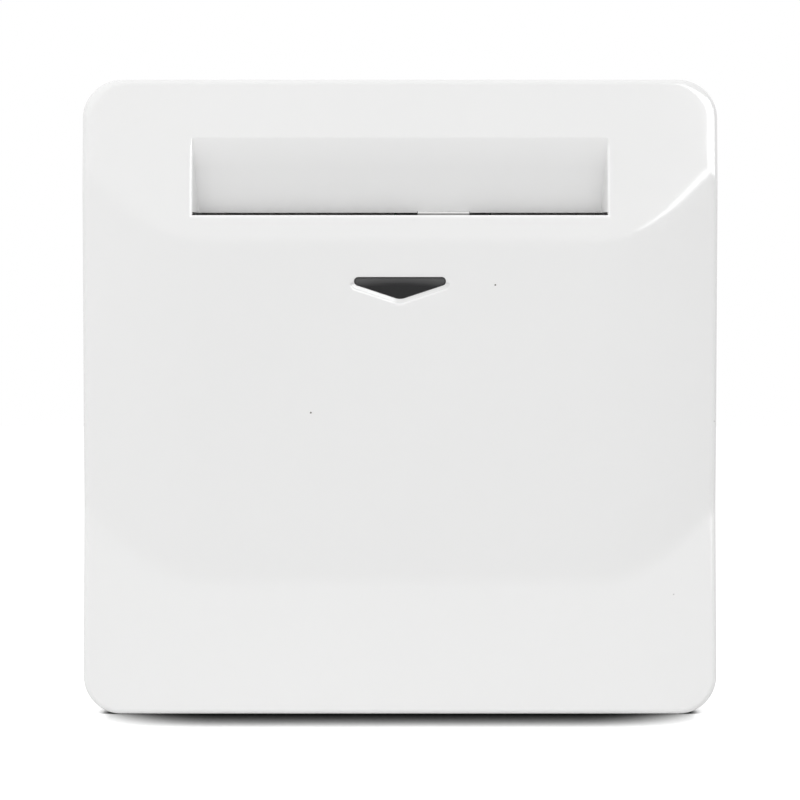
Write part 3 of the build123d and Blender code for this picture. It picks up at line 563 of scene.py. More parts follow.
# Outer face: the wave, less a quarter round at the outline, less the recess.
# In the recess the drop is the lesser of the ramp's and the leaning side wall's, softened at the foot;
# outside it the rim of the recess has a quarter round that dies out at the top
def outerDepth(x, z):
    c = cover
    wave = waveDepth(x, z)
    depth = wave - quarterRound(insetFromOutline(x, z), rimRadius(x, z))
    inSide = c["slotHalf"] - np.abs(x)
    fade = np.clip((c["recessTop"] - z) / c["rimFade"], 0, 1)
    edge = c["lipR"] * fade
    rampDrop = np.clip(wave - rampDepth(z), 0, None)
    sideDrop = np.clip(inSide, 0, None) / c["recessDraft"] + edge
    inner = softMin(sideDrop, rampDrop, c["footSoft"] * fade + c["footLeast"])
    aside = np.clip(-inSide, 0, None)
    below = np.clip(c["lipZ"] - z, 0, None)
    rim = quarterRound(np.hypot(aside, below) + (c["lipR"] - edge), c["lipR"])
    inside = (inSide >= 0) & (z > c["lipZ"] + onLine)
    opening = (z < c["recessTop"] + c["rimAbove"]) & (z > c["lipZ"] - c["rimBelow"])
    return depth - np.where(inside, np.clip(inner, 0, None), np.where(opening, rim, 0))


# Inner face: the wave moved back by the wall, with the ramp's back standing in and the lip thinned
def innerDepth(x, z):
    c = cover
    depth = waveDepth(x, z) - c["wall"]
    overRamp = (np.abs(x) <= c["slotHalf"] + c["rampWall"] + onLine) & (z >= c["rampStart"] - onLine)
    depth = np.where(overRamp, np.minimum(depth, rampDepth(z) - c["rampWall"]), depth)
    behindLip = (np.abs(x) <= c["slotHalf"] + onLine) & (z <= c["lipZ"] + onLine)
    behindLip &= z > c["ridgeZ"] - c["lipBack"]
    return np.where(behindLip, np.maximum(depth, rampDepth(z) + c["cardGap"]), depth)


arrow = dict(
    topZ=16.2,
    halfW=6.2,
    endH=1.0,
    height=3.05,
    cornerR=0.55,
    tipR=2.2,
    bevel=0.5,
    bevelAtTop=0.12,
    bevelRound=0.5,
    roundAcross=0.6,
    roundDrop=0.4,
    turnFrom=0.1,
    turnRun=0.5,
    collar=0.85,
    cornerSteps=9,
    sideSteps=2,
    tipSteps=12,
    slopeSteps=10,
    topSteps=32,
)
window = dict(x=7.424, low=12.2, high=17.2)


# Arrow outline grown by a margin: arcs about the centres of its rounded corners, joined by straight runs.
# It starts at the right end of the top edge and goes clockwise
def arrowLoop(margin):
    a = arrow
    x = np.array([1.0, 1.0, 0.0, -1.0, -1.0]) * a["halfW"]
    corners = np.column_stack([x, -np.array([0.0, a["endH"], a["height"], a["endH"], 0.0])])
    lean = -math.degrees(math.atan2(a["halfW"], a["height"] - a["endH"]))
    facing = np.radians([90.0, 0.0, lean, -180.0 - lean, -180.0, -270.0])
    radii = np.where(x == 0, a["tipR"], a["cornerR"])
    steps = np.where(x == 0, a["tipSteps"], a["cornerSteps"])
    runs = [a["sideSteps"], a["slopeSteps"], a["slopeSteps"], a["sideSteps"], a["topSteps"]]
    normals = np.column_stack([np.cos(facing), np.sin(facing)])
    arcs = []
    for corner, one, two, angle0, angle1, radius, count in zip(
        corners, normals[:-1], normals[1:], facing[:-1], facing[1:], radii, steps
    ):
        centre = corner - radius * (one + two) / (1 + one @ two)
        angle = np.linspace(angle0, angle1, count + 1)
        arcs.append(centre + (radius + margin) * np.column_stack([np.cos(angle), np.sin(angle)]))
    loop = []
    for arc, following, count in zip(arcs, arcs[1:] + arcs[:1], runs):
        share = np.linspace(0, 1, count + 1)[1:-1, None]
        loop += [arc, arc[-1] + (following[0] - arc[-1]) * share]
    return np.concatenate(loop) + (0, a["topZ"])


# Window rectangle from its top right corner and clockwise, with as many points as the arrow's outline
def windowLoop():
    a, w = arrow, window
    side = 2 * a["cornerSteps"] + a["sideSteps"]
    below = a["tipSteps"] + 2 * a["slopeSteps"]
    x = np.linspace(w["x"], -w["x"], below + 1)
    z = np.linspace(w["high"], w["low"], side + 1)
    right = np.column_stack([np.full(side, w["x"]), z[:-1]])
    low = np.column_stack([x[:-1], np.full(below, w["low"])])
    left = np.column_stack([np.full(side, -w["x"]), z[::-1][:-1]])
    top = np.column_stack([x[::-1][:-1], np.full(below, w["high"])])
    return np.concatenate([right, low, left, top])


# Lines between stops, each stop with the count of steps up to the next
def steps(*stops):
    pairs = zip(stops, stops[1:])
    lines = [np.linspace(low, high, count, endpoint=False) for (low, count), (high, _) in pairs]
    return np.append(np.concatenate(lines), stops[-1][0])


# Lines from the corner centre out to the outline, close together over the quarter round
def borderLines():
    c = cover
    flat = c["cornerR"] - c["upperRimR"]
    return np.append(np.linspace(0, flat, 5)[1:-1], flat + c["upperRimR"] * np.sin(quarterTurn(19)))


# Places in x, away from the side wall of the recess, and in z where the spacing of the lines changes
spacing = dict(
    beforeWall=1.2,
    wallRim=0.5,
    pastWall=0.1,
    valleyLow=-27.0,
    valleyHigh=-14.0,
    ridgeLow=20.0,
    lipLow=24.2,
    rampHigh=31.0,
    topLow=34.9,
    topHigh=35.4,
)


# The skin's grid in x and z, with close lines at the ridge, valley, recess, lever notch and window
def skinPlan():
    c, a, w, g = cover, arrow, window, spacing
    core = c["half"] - c["cornerR"]
    border = borderLines()
    across = a["tipSteps"] + 2 * a["slopeSteps"]
    upward = 2 * a["cornerSteps"] + a["sideSteps"]
    wallX = c["slotHalf"]
    right = steps(
        (w["x"], 2),
        (c["leverRight"], 11),
        (wallX - g["beforeWall"], 24),
        (wallX, 8),
        (wallX + g["wallRim"], 3),
        (wallX + c["rampWall"], 1),
        (wallX + c["rampWall"] + g["pastWall"], 9),
        (core, 1),
    )
    middle = np.linspace(-w["x"], w["x"], across + 1)
    xLines = np.concatenate([-core - border[::-1], -right[::-1], middle[1:-1], right, core + border])
    lipTurn = c["lipZ"] - c["lipR"] * (1 - np.sin(quarterTurn(8)))
    below = steps(
        (-core, 7),
        (g["valleyLow"], 43),
        (g["valleyHigh"], 16),
        (w["low"], upward),
        (w["high"], 3),
        (g["ridgeLow"], 21),
        (g["lipLow"], 1),
    )
    above = steps(
        (c["rampStart"], 2),
        (c["leverTop"], 28),
        (g["rampHigh"], 6),
        (g["topLow"], 2),
        (c["recessTop"], 2),
        (g["topHigh"], 3),
        (core, 1),
    )
    zLines = np.concatenate([-core - border[::-1], below[:-1], lipTurn, above, core + border])
    return core, border, xLines, zLines


# Whole numbers that are the same for points of a plan that coincide
def planKeys(plan, perMillimetre=1e4):
    return np.round(plan * perMillimetre).astype(np.int64)


# Points that coincide in the plan become one
def weld(plan, faces):
    _, first, where = np.unique(planKeys(plan), axis=0, return_index=True, return_inverse=True)
    return plan[first], where.reshape(-1)[faces]


# Row numbers in the plan of the wanted points
def findPoints(plan, wanted):
    keys = planKeys(np.concatenate([plan, wanted]))
    label = np.unique(keys, axis=0, return_inverse=True)[1].reshape(-1)
    lookup = np.zeros(label.max() + 1, int)
    lookup[label[: len(plan)]] = np.arange(len(plan))
    return lookup[label[len(plan):]]


# The grid without its openings, plus a quarter disc at each corner and a ring between window and arrow
def skinFaces():
    c, w = cover, window
    core, border, xLines, zLines = skinPlan()
    z, x = np.meshgrid(zLines, xLines, indexing="ij")
    plan = np.column_stack([x.ravel(), z.ravel()])
    faces = gridFaces(len(zLines), len(xLines))
    midX, midZ = plan[faces].mean(axis=1).T
    beside = (np.abs(midX) > core) & (np.abs(midZ) > core)
    inWindow = (np.abs(midX) < w["x"]) & (midZ > w["low"]) & (midZ < w["high"])
    inSlot = (np.abs(midX) < c["slotHalf"]) & (midZ > c["lipZ"]) & (midZ < c["rampStart"])
    overLever = (midX > c["leverLeft"]) & (midX < c["leverRight"])
    overLever &= (midZ > c["lipZ"]) & (midZ < c["leverTop"])
    parts = [(plan, faces[~(beside | inWindow | inSlot | overLever)])]
    turn = quarterTurn(25)
    radius = np.append(0.0, border)[:, None]
    for sideX, sideZ in ((1, 1), (-1, 1), (-1, -1), (1, -1)):
        fanX, fanZ = core + radius * np.cos(turn), core + radius * np.sin(turn)
        fan = np.stack([sideX * fanX, sideZ * fanZ], axis=-1)
        parts.append((fan.reshape(-1, 2), gridFaces(len(radius), len(turn))))
    ring = np.concatenate([windowLoop(), arrowLoop(arrow["collar"])])
    parts.append((ring, gridFaces(2, len(ring) // 2, closed=True)))
    return weld(*joinShapes(parts))


# Edges that only one face uses, in that face's direction
def openEdges(faces):
    edges = np.stack([faces, np.roll(faces, -1, axis=1)], axis=-1).reshape(-1, 2)
    edges = edges[edges[:, 0] != edges[:, 1]]
    _, where, count = np.unique(np.sort(edges, axis=1), axis=0, return_inverse=True, return_counts=True)
    return edges[count[where.reshape(-1)] == 1]


# Every quad is turned so that its area in the plan has the same sign
def alignFaces(plan, faces):
    x, z = np.moveaxis(plan[faces], -1, 0)
    area = (x * np.roll(z, -1, axis=1) - np.roll(x, -1, axis=1) * z).sum(axis=1)
    return np.where((area < 0)[:, None], faces[:, ::-1], faces)


# Rows of the arrow window's edge: a slow turn-in and then a straight chamfer, each row with its margin and
# its drop below the face. Both shrink to a small share where the outline faces up
def windowBevel():
    a = arrow
    turn = quarterTurn(7)[1:]
    roundR = a["collar"] - a["bevel"] * a["bevelRound"]
    margin = a["collar"] - roundR * np.sin(turn) * a["roundAcross"]
    drop = roundR * (1 - np.cos(turn)) * a["roundDrop"]
    share = np.linspace(0, 1, 5)[1:]
    margins = np.append(margin, margin[-1] * (1 - share))
    drops = np.append(drop, drop[-1] + (a["bevel"] - drop[-1]) * share)
    edge = arrowLoop(0.0)
    upward = (arrowLoop(1.0) - edge)[:, 1]
    turnIn = np.clip((a["turnFrom"] - upward) / a["turnRun"], 0, 1)
    weight = a["bevelAtTop"] + (1 - a["bevelAtTop"]) * turnIn**2 * (3 - 2 * turnIn)
    loops = np.stack([edge + (arrowLoop(m) - edge) * weight[:, None] for m in margins])
    return loops.reshape(-1, 2), (drops[:, None] * weight).ravel(), len(margins) + 1


# Two copies of the skin, the outer and the inner, joined along every open edge
def makeCover():
    c = cover
    plan, faces = skinFaces()
    faces = alignFaces(plan, faces)
    outer = atDepth(plan, outerDepth(*plan.T))
    shrink = (c["cornerR"] - c["wall"]) / c["cornerR"]
    core = c["half"] - c["cornerR"]
    reach = np.abs(plan)
    sunk = np.sign(plan) * np.where(reach > core, core + (reach - core) * shrink, reach)
    inner = atDepth(sunk, innerDepth(*sunk.T))

    # side wall, from the outline back to the wall's plane
    border = openEdges(faces)
    outline = border[(insetFromOutline(*plan.T)[border] < onLine).all(axis=1)]
    rim = np.unique(outline)
    notch = (np.abs(plan[rim, 0]) <= c["notchHalf"] + onLine) & (plan[rim, 1] < 0)
    foot = np.where(notch, c["notchDepth"], 0.0)
    total = len(plan)
    index = np.searchsorted(rim, outline)
    wallFaces = np.column_stack([outline[:, ::-1], total + index])

    # edge of the arrow window
    loops, drops, rowCount = windowBevel()
    face = waveDepth(*loops.T)
    collar = findPoints(plan, arrowLoop(arrow["collar"]))
    rows = np.append(collar, total + len(rim) + np.arange(len(loops)))
    bevelFaces = rows[gridFaces(rowCount, len(collar), closed=True)]

    outerPoints = np.concatenate([outer, atDepth(plan[rim], foot), atDepth(loops, face - drops)])
    innerPoints = np.concatenate([inner, atDepth(sunk[rim], foot), atDepth(loops, face - c["wall"])])
    skin = np.concatenate([faces, wallFaces, bevelFaces])
    size = len(outerPoints)
    edges = openEdges(skin)
    joining = np.column_stack([edges[:, ::-1], edges + size])
    every = np.concatenate([skin, skin[:, ::-1] + size, joining])
    points = np.concatenate([outerPoints, innerPoints])
    piece = makePiece("front_cover_skin", points, every, "front_cover", sharpAngle=40.0)
    markFaces(piece.data)
    return piece


# Where a painted highlight lies along the cover's edges, and where painted shade lies in the recess
paintedMarks = dict(
    faceDeep=0.7,
    side=0.1,
    spread=0.16,
    sideCore=1.6,
    endGap=0.3,
    endRun=1.5,
    lip=0.2,
    lipDown=0.12,
    lipCore=1.4,
    lipStrength=0.8,
    arrowOut=0.66,
    arrow=0.13,
    arrowCore=1.5,
    arrowPast=0.2,
    arrowStrength=0.7,
    arrowLean=0.05,
    shadeReach=1.5,
    shadeFloor=0.24,
    shadeFull=0.6,
    shadeDeep=1.2,
    shadeWall=0.05,
    shadeIn=0.02,
    shadeBack=0.2,
)


# Painted highlight on the cover's edges, 1 in the middle of an edge and 0 a little way off: the two side
# rims of the recess, the lip of the slot, and the lower rim of the arrow window, strongest at its left end.
# Painted shade in the recess falls off as an exponential of the distance in from the foot of a side wall,
# and evenly up the wall to its rim
def markFaces(mesh):
    c, a, r = cover, arrow, paintedMarks
    place = np.empty(len(mesh.vertices) * 3)
    mesh.vertices.foreach_get("co", place)
    x, depth, z = (place.reshape(-1, 3) * (1000, -1000, 1000)).T
    front = depth > waveDepth(x, z) - r["faceDeep"]
    offSide = np.abs(np.abs(x) - c["slotHalf"] - r["side"])
    side = np.clip(r["sideCore"] - offSide / r["spread"], 0, 1) * (z > c["lipZ"] - r["endGap"])
    side = side * np.clip((c["recessTop"] - r["endGap"] - z) / r["endRun"], 0, 1)
    lip = np.clip(r["lipCore"] - np.abs(z - c["lipZ"] + r["lipDown"]) / r["lip"], 0, 1)
    lip = lip * r["lipStrength"] * (np.abs(x) < c["slotHalf"] + r["endGap"])
    slope = (a["height"] - a["endH"]) / a["halfW"]
    line = a["topZ"] - a["height"] + slope * np.abs(x)
    offArrow = np.abs((z - line) / math.hypot(1, slope) + r["arrowOut"])
    rim = np.clip(r["arrowCore"] - offArrow / r["arrow"], 0, 1)
    rim = rim * (np.abs(x) < a["halfW"] + r["arrowPast"]) * (r["arrowStrength"] - r["arrowLean"] * x)
    # Painted highlight along the rims of the recess, the lip and the arrow window
    setMark(mesh, "edge", np.maximum(np.maximum(side, lip), rim) * front)
    # Painted shade in the recess, darkest at the foot of the side walls
    drop = np.clip(waveDepth(x, z) - rampDepth(z), 0, None)
    foot = c["slotHalf"] - c["recessDraft"] * drop
    inward = foot - np.abs(x)
    upWall = 1 + inward / np.clip(c["slotHalf"] - foot, r["shadeWall"], None)
    recessShade = np.where(inward > 0, np.exp(-np.abs(inward) / r["shadeReach"]), np.clip(upWall, 0, 1))
    recessShade = r["shadeFloor"] + (r["shadeFull"] - r["shadeFloor"]) * recessShade
    inRecess = (np.abs(x) < c["slotHalf"] - r["shadeIn"]) & (z > c["rampStart"] - r["shadeIn"])
    inRecess &= depth > rampDepth(z) - r["shadeBack"]
    setMark(mesh, "corner", recessShade * inRecess * np.clip(drop / r["shadeDeep"], 0, 1))


def setMark(mesh, title, values):
    mark = mesh.attributes.new(title, "FLOAT", "POINT")
    mark.data.foreach_set("value", np.clip(values, 0, 1))


coverPiece = makeCover()
print("stage: cover made,", len(coverPiece.data.polygons), "faces")

inside = dict(
    ribs=(-26.0, -19.0, -12.0, 12.0, 19.0, 26.0),
    ribHalf=0.6,
    ribLow=11.0,
    bosses=((33.0, 6.0, 8.0), (33.0, -20.0, 5.0)),
    bossR=2.6,
    bossHoleR=1.0,
    bossHole=2.6,
    postInto=0.9,
    postEdge=0.15,
    drillPoint=0.3,
    holeMouth=0.25,
    socketX=35.5,
    socketZ=33.0,
    socketR=2.8,
    socketHoleR=1.55,
    socketFoot=2.2,
    socketHole=6.8,
    stakeX=7.7,
    stakeZ=14.675,
    stakeR=0.6,
    stakeHeadR=0.95,
    stakeHeadH=0.42,
    stakeNeck=0.48,
    stakeOut=1.5,
    stakeInto=0.6,
)


# Post with a blind hole, as a profile: up the hole, round its mouth, and down the outside into the skin
def hollowPost(x, z, foot, holeEnd, holeR, postR):
    mouth, edge = inside["holeMouth"], inside["postEdge"]
    top = float(waveDepth(x, z)) - inside["postInto"]
    profile = [
        (0.0, holeEnd),
        (holeR, holeEnd - inside["drillPoint"]),
        (holeR, foot + mouth),
        (holeR + mouth, foot),
        (postR - edge, foot),
        (postR, foot + edge),
        (postR, top),
        (0.0, top),
    ]
    return turned(profile, x, z, around=40)


# Stake that is melted over the lens flange: a round head on a plain shank
def meltedStake(x, z):
    i = inside
    seat = float(middleDepth(z)) - cover["wall"]
    end = seat - i["stakeOut"]
    turn = quarterTurn(7)
    head = np.column_stack([i["stakeHeadR"] * np.sin(turn), end + i["stakeHeadH"] * (1 - np.cos(turn))])
    top = seat + i["stakeInto"]
    shank = [(i["stakeR"], end + i["stakeNeck"]), (i["stakeR"], top), (0.0, top)]
    return turned(np.concatenate([head, shank]), x, z, around=32)


# Ribs behind the ridge, screw bosses, sockets for the frame's pegs, and the lens stakes
def makeCoverInside():
    i = inside
    ribFront = lambda z: middleDepth(z) - cover["wall"] / 2
    ribBack = lambda z: rampDepth(z) + cover["cardGap"]
    shapes = [
        slopedBox(x - i["ribHalf"], x + i["ribHalf"], i["ribLow"], cover["ridgeZ"], ribBack, ribFront)
        for x in i["ribs"]
    ]
    for side in (-1, 1):
        for x, z, foot in i["bosses"]:
            shapes.append(hollowPost(side * x, z, foot, foot + i["bossHole"], i["bossHoleR"], i["bossR"]))
        for z in (-i["socketZ"], i["socketZ"]):
            spot = (side * i["socketX"], z, i["socketFoot"], i["socketHole"])
            shapes.append(hollowPost(*spot, i["socketHoleR"], i["socketR"]))
        shapes.append(meltedStake(side * i["stakeX"], i["stakeZ"]))
    return makePiece("front_cover_inside", *joinShapes(shapes), "front_cover")


makeCoverInside()
print("stage: inside of the cover made")

lens = dict(
    fit=0.08,
    sink=0.35,
    crown=0.1,
    edge=0.14,
    flangeX=9.0,
    flangeMargin=0.9,
    flangeWall=1.0,
    flangeR=0.6,
    flangeSteps=10,
    flangeEdge=0.1,
    flangeBackEdge=0.15,
    plugInto=0.2,
    middleShare=0.42,
)


# Rounded rectangle of the lens flange, grown by a margin
def flangeLoop(margin):
    a, l = arrow, lens
    high = a["topZ"] + l["flangeMargin"] - l["flangeR"]
    low = a["topZ"] - a["height"] - l["flangeMargin"] + l["flangeR"]
    count = l["flangeSteps"]
    turn = np.concatenate([np.radians(np.linspace(90 * k, 90 * k + 90, count)) for k in range(4)])
    x = np.repeat([1.0, -1.0, -1.0, 1.0], count) * (l["flangeX"] - l["flangeR"])
    z = np.repeat([high, high, low, low], count)
    radius = l["flangeR"] + margin
    return np.column_stack([x + radius * np.cos(turn), z + radius * np.sin(turn)])


# Smoked lens: a plug whose front is crowned by crown * (1 - share squared), with a quarter-round edge,
# on a flange behind the skin
def makeLens():
    a, l = arrow, lens
    middle = np.array([0.0, a["topZ"] - l["middleShare"] * a["height"]])
    sink, edge = l["sink"], l["edge"]
    inner = -l["fit"] - edge
    crown = [(s, inner, sink - l["crown"] * (1 - s * s)) for s in np.linspace(0, 1, 13)]
    turn = quarterTurn(6)[1:]
    rounded = [(1, inner + edge * np.sin(t), sink + edge * (1 - np.cos(t))) for t in turn]
    deep = cover["wall"] + l["plugInto"]
    plugRows = crown + rounded + [(1, -l["fit"], deep), (0, -l["fit"], deep)]
    plug = stackedOutline(arrowLoop, plugRows, middle, middleDepth)
    near, far = cover["wall"], cover["wall"] + l["flangeWall"]
    front, back = l["flangeEdge"], l["flangeBackEdge"]
    flangeRows = [(0, -front, near), (1, -front, near), (1, 0, near + front)]
    flangeRows += [(1, 0, far - back), (1, -back, far), (0, -back, far)]
    flange = stackedOutline(flangeLoop, flangeRows, middle, middleDepth)
    return makePiece("arrow_lens_body", *joinShapes([plug, flange]), "arrow_lens")


makeLens()
print("stage: lens made")

screw = dict(
    rim=0.62,
    driveHalf=0.3,
    driveArm=0.62,
    driveDepth=0.7,
    driveRise=0.35,
    edge=0.03,
    rings=(0.8, 0.92, 1.0),
    neck=0.1,
    pitch=0.95,
    pitchSteps=9,
    thread=0.22,
    threadRun=0.5,
    tip=1.3,
    tipPower=0.6,
)


# Square grid pressed into a disc: x = s sqrt(1 - t^2/2), z = t sqrt(1 - s^2/2). The head's height falls from
# the middle with the cube of the radius, less a cross that is deepest in the middle
def screwHead(headR, headH):
    k = screw
    half, e = k["driveHalf"] / headR, k["edge"]
    arm = k["driveArm"]
    side = np.array([half - e, half + e, (half + arm) / 2, arm - e, arm + e, *k["rings"]])
    lines = np.concatenate([-side[::-1], [0.0], side])
    t, s = np.meshgrid(lines, lines, indexing="ij")
    x, z = s * np.sqrt(1 - t**2 / 2), t * np.sqrt(1 - s**2 / 2)
    within = lambda value, limit: np.clip((limit - np.abs(value)) / (2 * e) + 0.5, 0, 1)
    across = np.maximum(within(s, arm) * within(t, half), within(t, arm) * within(s, half))
    reach = np.hypot(x, z)
    cross = k["driveDepth"] * across * (1 - k["driveRise"] * reach)
    height = headH * (1 - (1 - k["rim"]) * reach**3) - cross
    number = np.arange(len(lines) ** 2).reshape(len(lines), -1)
    rim = np.concatenate([number[0, :-1], number[:-1, -1], number[-1, :0:-1], number[:0:-1, 0]])
    return x.ravel() * headR, z.ravel() * headR, height.ravel(), rim, gridFaces(len(lines), len(lines))


# Screw on its node's axis. Below the head its radius is the shank's less a thread that falls and rises as a
# cosine of the turn along the pitch and round the shank, drawn in to a point at the tip
def makeScrew(node, headR, headH, shankR, forward):
    k = screw
    low, high = nodeBox(node)
    middle = (low + high) / 2
    length = high[1] - low[1] - headH
    headX, headZ, height, rim, faces = screwHead(headR, headH)
    around = np.arctan2(headZ[rim], headX[rim])
    along = np.linspace(0, length, int(length / k["pitch"] * k["pitchSteps"]) + 1)[:, None]
    thread = k["thread"] * (0.5 - 0.5 * np.cos(2 * np.pi * along / k["pitch"] - around))
    fade = np.clip(along / k["threadRun"], 0, 1)
    taper = np.clip((length - along) / k["tip"], 0, 1) ** k["tipPower"]
    shank = (shankR - thread * fade) * taper
    neck = np.array([[headR], [headR - k["neck"]]]) + 0 * around
    radius = np.concatenate([neck, shank])
    run = np.concatenate([[[-k["neck"]], [0.0]], along]) + 0 * around
    x = np.concatenate([headX, (radius * np.cos(around)).ravel()])
    z = np.concatenate([headZ, (radius * np.sin(around)).ravel()])
    out = np.concatenate([-height, run.ravel()])
    seat = low[1] + headH if forward > 0 else high[1] - headH
    rows = np.append(rim, len(headX) + np.arange(radius.size))
    sides = rows[gridFaces(len(radius) + 1, len(rim), closed=True)]
    points = np.column_stack([middle[0] + x, seat + forward * out, middle[2] + z])
    return makePiece(node + "_body", points, np.concatenate([faces, sides]), node, sharpAngle=50.0)


screwKinds = {
    "guide_screw": dict(headR=2.0, headH=1.2, shankR=0.95, forward=1),
    "frame_screw": dict(headR=2.3, headH=1.3, shankR=1.2, forward=-1),
    "lid_screw": dict(headR=2.3, headH=1.3, shankR=1.2, forward=-1),
    "terminal_screw": dict(headR=2.7, headH=1.8, shankR=1.6, forward=1),
}
for node in sorted(frame["nodes"]):
    kind = screwKinds.get(node.rsplit("_", 1)[0])
    if kind:
        makeScrew(node, **kind)
print("stage: screws made")

lamp = dict(
    z=14.8,
    r=1.5,
    flangeR=1.9,
    flange=1.0,
    edge=0.1,
    base=1.9,
    tip=7.6,
    leadR=0.25,
    leadX=0.635,
    leadTop=1.95,
    leadEnd=-8.4,
)


# Lamp: a profile with a half-round tip, a plain barrel and a flange, on two round leads
def makeLamp():
    m = lamp
    turn = np.linspace(np.pi / 2, 0, 12)
    dome = np.column_stack([m["r"] * np.cos(turn), m["tip"] - m["r"] + m["r"] * np.sin(turn)])
    base, edge, wide = m["base"], m["edge"], m["flangeR"]
    shoulder = base + m["flange"]
    foot = [(m["r"], shoulder + edge), (m["r"] + edge, shoulder), (wide - edge, shoulder)]
    foot += [(wide, shoulder - edge), (wide, base + edge), (wide - edge, base), (0.0, base)]
    makePiece("led_lens", *turned(np.concatenate([dome, foot]), 0.0, m["z"], around=64), "led")
    radius, top, end = m["leadR"], m["leadTop"], m["leadEnd"]
    leadProfile = [(0.0, top), (radius, top), (radius, end + edge), (radius - edge, end), (0.0, end)]
    leads = [turned(leadProfile, x, m["z"], around=16) for x in (-m["leadX"], m["leadX"])]
    makePiece("led_leads", *joinShapes(leads), "led", slot="steel")


makeLamp()
print("stage: lamp made")

spring = dict(wireR=0.2, coilR=1.5, turns=3.75, turnSteps=32, legSteps=10, around=14)


# Return spring: round wire on a path that runs up a leg, round the lever's pin as a helix, and back along a
# leg to the lid. Each ring of wire stands on the direction out from the pin and on its cross with the path.
# The wire is baked in place and rides on neither the lever nor the base
def makeSpring():
    s = spring
    low, high = nodeBox("lever_spring")
    reach = s["coilR"] + s["wireR"]
    startX, endX = low[0] + s["wireR"], high[0] - s["wireR"]
    pinDepth, pinZ = high[1] - reach, high[2] - reach
    turn = np.linspace(0, 2 * np.pi * s["turns"], int(s["turns"] * s["turnSteps"]) + 1)
    coilX = startX + (endX - startX) * turn / turn[-1]
    coil = [coilX, pinDepth - s["coilR"] * np.cos(turn), pinZ + s["coilR"] * np.sin(turn)]
    rise = np.linspace(low[2], pinZ, s["legSteps"], endpoint=False)
    back = np.linspace(pinDepth, low[1], s["legSteps"] + 1)[1:]
    firstLeg = [startX + 0 * rise, pinDepth - s["coilR"] + 0 * rise, rise]
    lastLeg = [endX + 0 * back, back, pinZ - s["coilR"] + 0 * back]
    path = np.concatenate([firstLeg, coil, lastLeg], axis=1).T
    turnAt = np.concatenate([0 * rise, turn, turn[-1] + 0 * back])
    outward = np.column_stack([0 * turnAt, -np.cos(turnAt), np.sin(turnAt)])
    along = np.gradient(path, axis=0)
    aside = np.cross(along / np.linalg.norm(along, axis=1)[:, None], outward)
    angle = np.linspace(0, 2 * np.pi, s["around"], endpoint=False)[:, None]
    ring = np.cos(angle) * outward[:, None] + np.sin(angle) * aside[:, None]
    rows = np.concatenate([[0], np.arange(len(path)), [len(path) - 1]])
    wire = np.full(len(rows), s["wireR"])
    wire[[0, -1]] = 0.0
    points = path[rows][:, None] + wire[:, None, None] * ring[rows]
    pin = np.array([0.0, -pinDepth, pinZ])
    ends = [tuple((pin + (x, 0, 0)) * mm) for x in (startX + s["wireR"], endX - s["wireR"])]
    faces = gridFaces(len(rows), s["around"], closed=True)
    between = (bodyOf["trip_lever"], bodyOf["lever_spring"], *ends)
    makePiece("lever_spring_wire", points.reshape(-1, 3), faces, "lever_spring", between=between)


makeSpring()
print("stage: spring made")

# Softened copies of the other nodes: doubles merged, coplanar triangles joined, and edges rounded
soft = dict(
    width=0.14,
    segments=2,
    merge=2e-6,
    flatAngle=0.8,
    sharpAngle=28.0,
    bevelAngle=38.0,
    flatWeight=90,
)
softWidths = dict(mounting_frame=0.18, rear_housing=0.2, housing_lid=0.15, lever_pin=0.12)


def softCopy(node):
    mesh = frame["nodes"][node].data.copy()
    mesh.name = node + "_body"
    work = bmesh.new()
    work.from_mesh(mesh)
    bmesh.ops.remove_doubles(work, verts=work.verts, dist=soft["merge"])
    bmesh.ops.dissolve_degenerate(work, edges=work.edges, dist=soft["merge"])
    flat = math.radians(soft["flatAngle"])
    bmesh.ops.dissolve_limit(work, angle_limit=flat, verts=work.verts, edges=work.edges)
    work.to_mesh(mesh)
    work.free()
    piece = finishPiece(node + "_body", mesh, node, slotOf[node], soft["sharpAngle"])
    bevel = piece.modifiers.new("edges", "BEVEL")
    bevel.width = softWidths.get(node, soft["width"]) * mm
    bevel.segments = soft["segments"]
    bevel.limit_method = "ANGLE"
    bevel.angle_limit = math.radians(soft["bevelAngle"])
    bevel.use_clamp_overlap = True
    weigh = piece.modifiers.new("flats", "WEIGHTED_NORMAL")
    weigh.keep_sharp = True
    weigh.weight = soft["flatWeight"]
    return piece


for node in sorted(frame["nodes"]):
    if not frame["nodes"][node].hide_render:
        softCopy(node)
print("stage: other pieces made")

# Camera, world, lamps and floor
view = dict(
    pixels=800,
    sensor=36.0,
    scale=7.37,
    planeDepth=11.0,
    distance=620.0,
    centreUp=3.0,
    clipNear=10.0,
    clipFar=20000.0,
)
stage = dict(
    floorHalf=6000.0,
    floorZ=-43.0,
    floorColour=0.9,
    floorRoughness=0.9,
    floorGlow=0.45,
    shadowSamples=16,
    shadowReach=32.0,
    shadowFront=9.0,
    shadowBehind=2.2,
    shadowNear=-8.0,
    shadowFar=4.0,
    shadowAside=0.3,
    shadowFull=24.0,
    shadowEnd=45.0,
    shadowCutFrom=38.8,
    shadowCutTo=41.4,
    ambient=0.65,
)
# Angles in degrees and lengths in millimetres. Shiny faces don't show a lamp unless it is set otherwise
lamps = dict(
    overhead=dict(turn=0.0, rise=62.0, distance=1000.0, size=(900.0, 900.0), radiance=1.5),
    leftFill=dict(turn=-60.0, rise=20.0, distance=900.0, size=(800.0, 800.0), radiance=0.56),
    sidePanel=dict(
        turn=50.0,
        rise=0.0,
        distance=700.0,
        size=(1370.0, 740.0),
        radiance=6.0,
        aim=(62, 11, 460),
        unseenBy="diffuse",
    ),
)


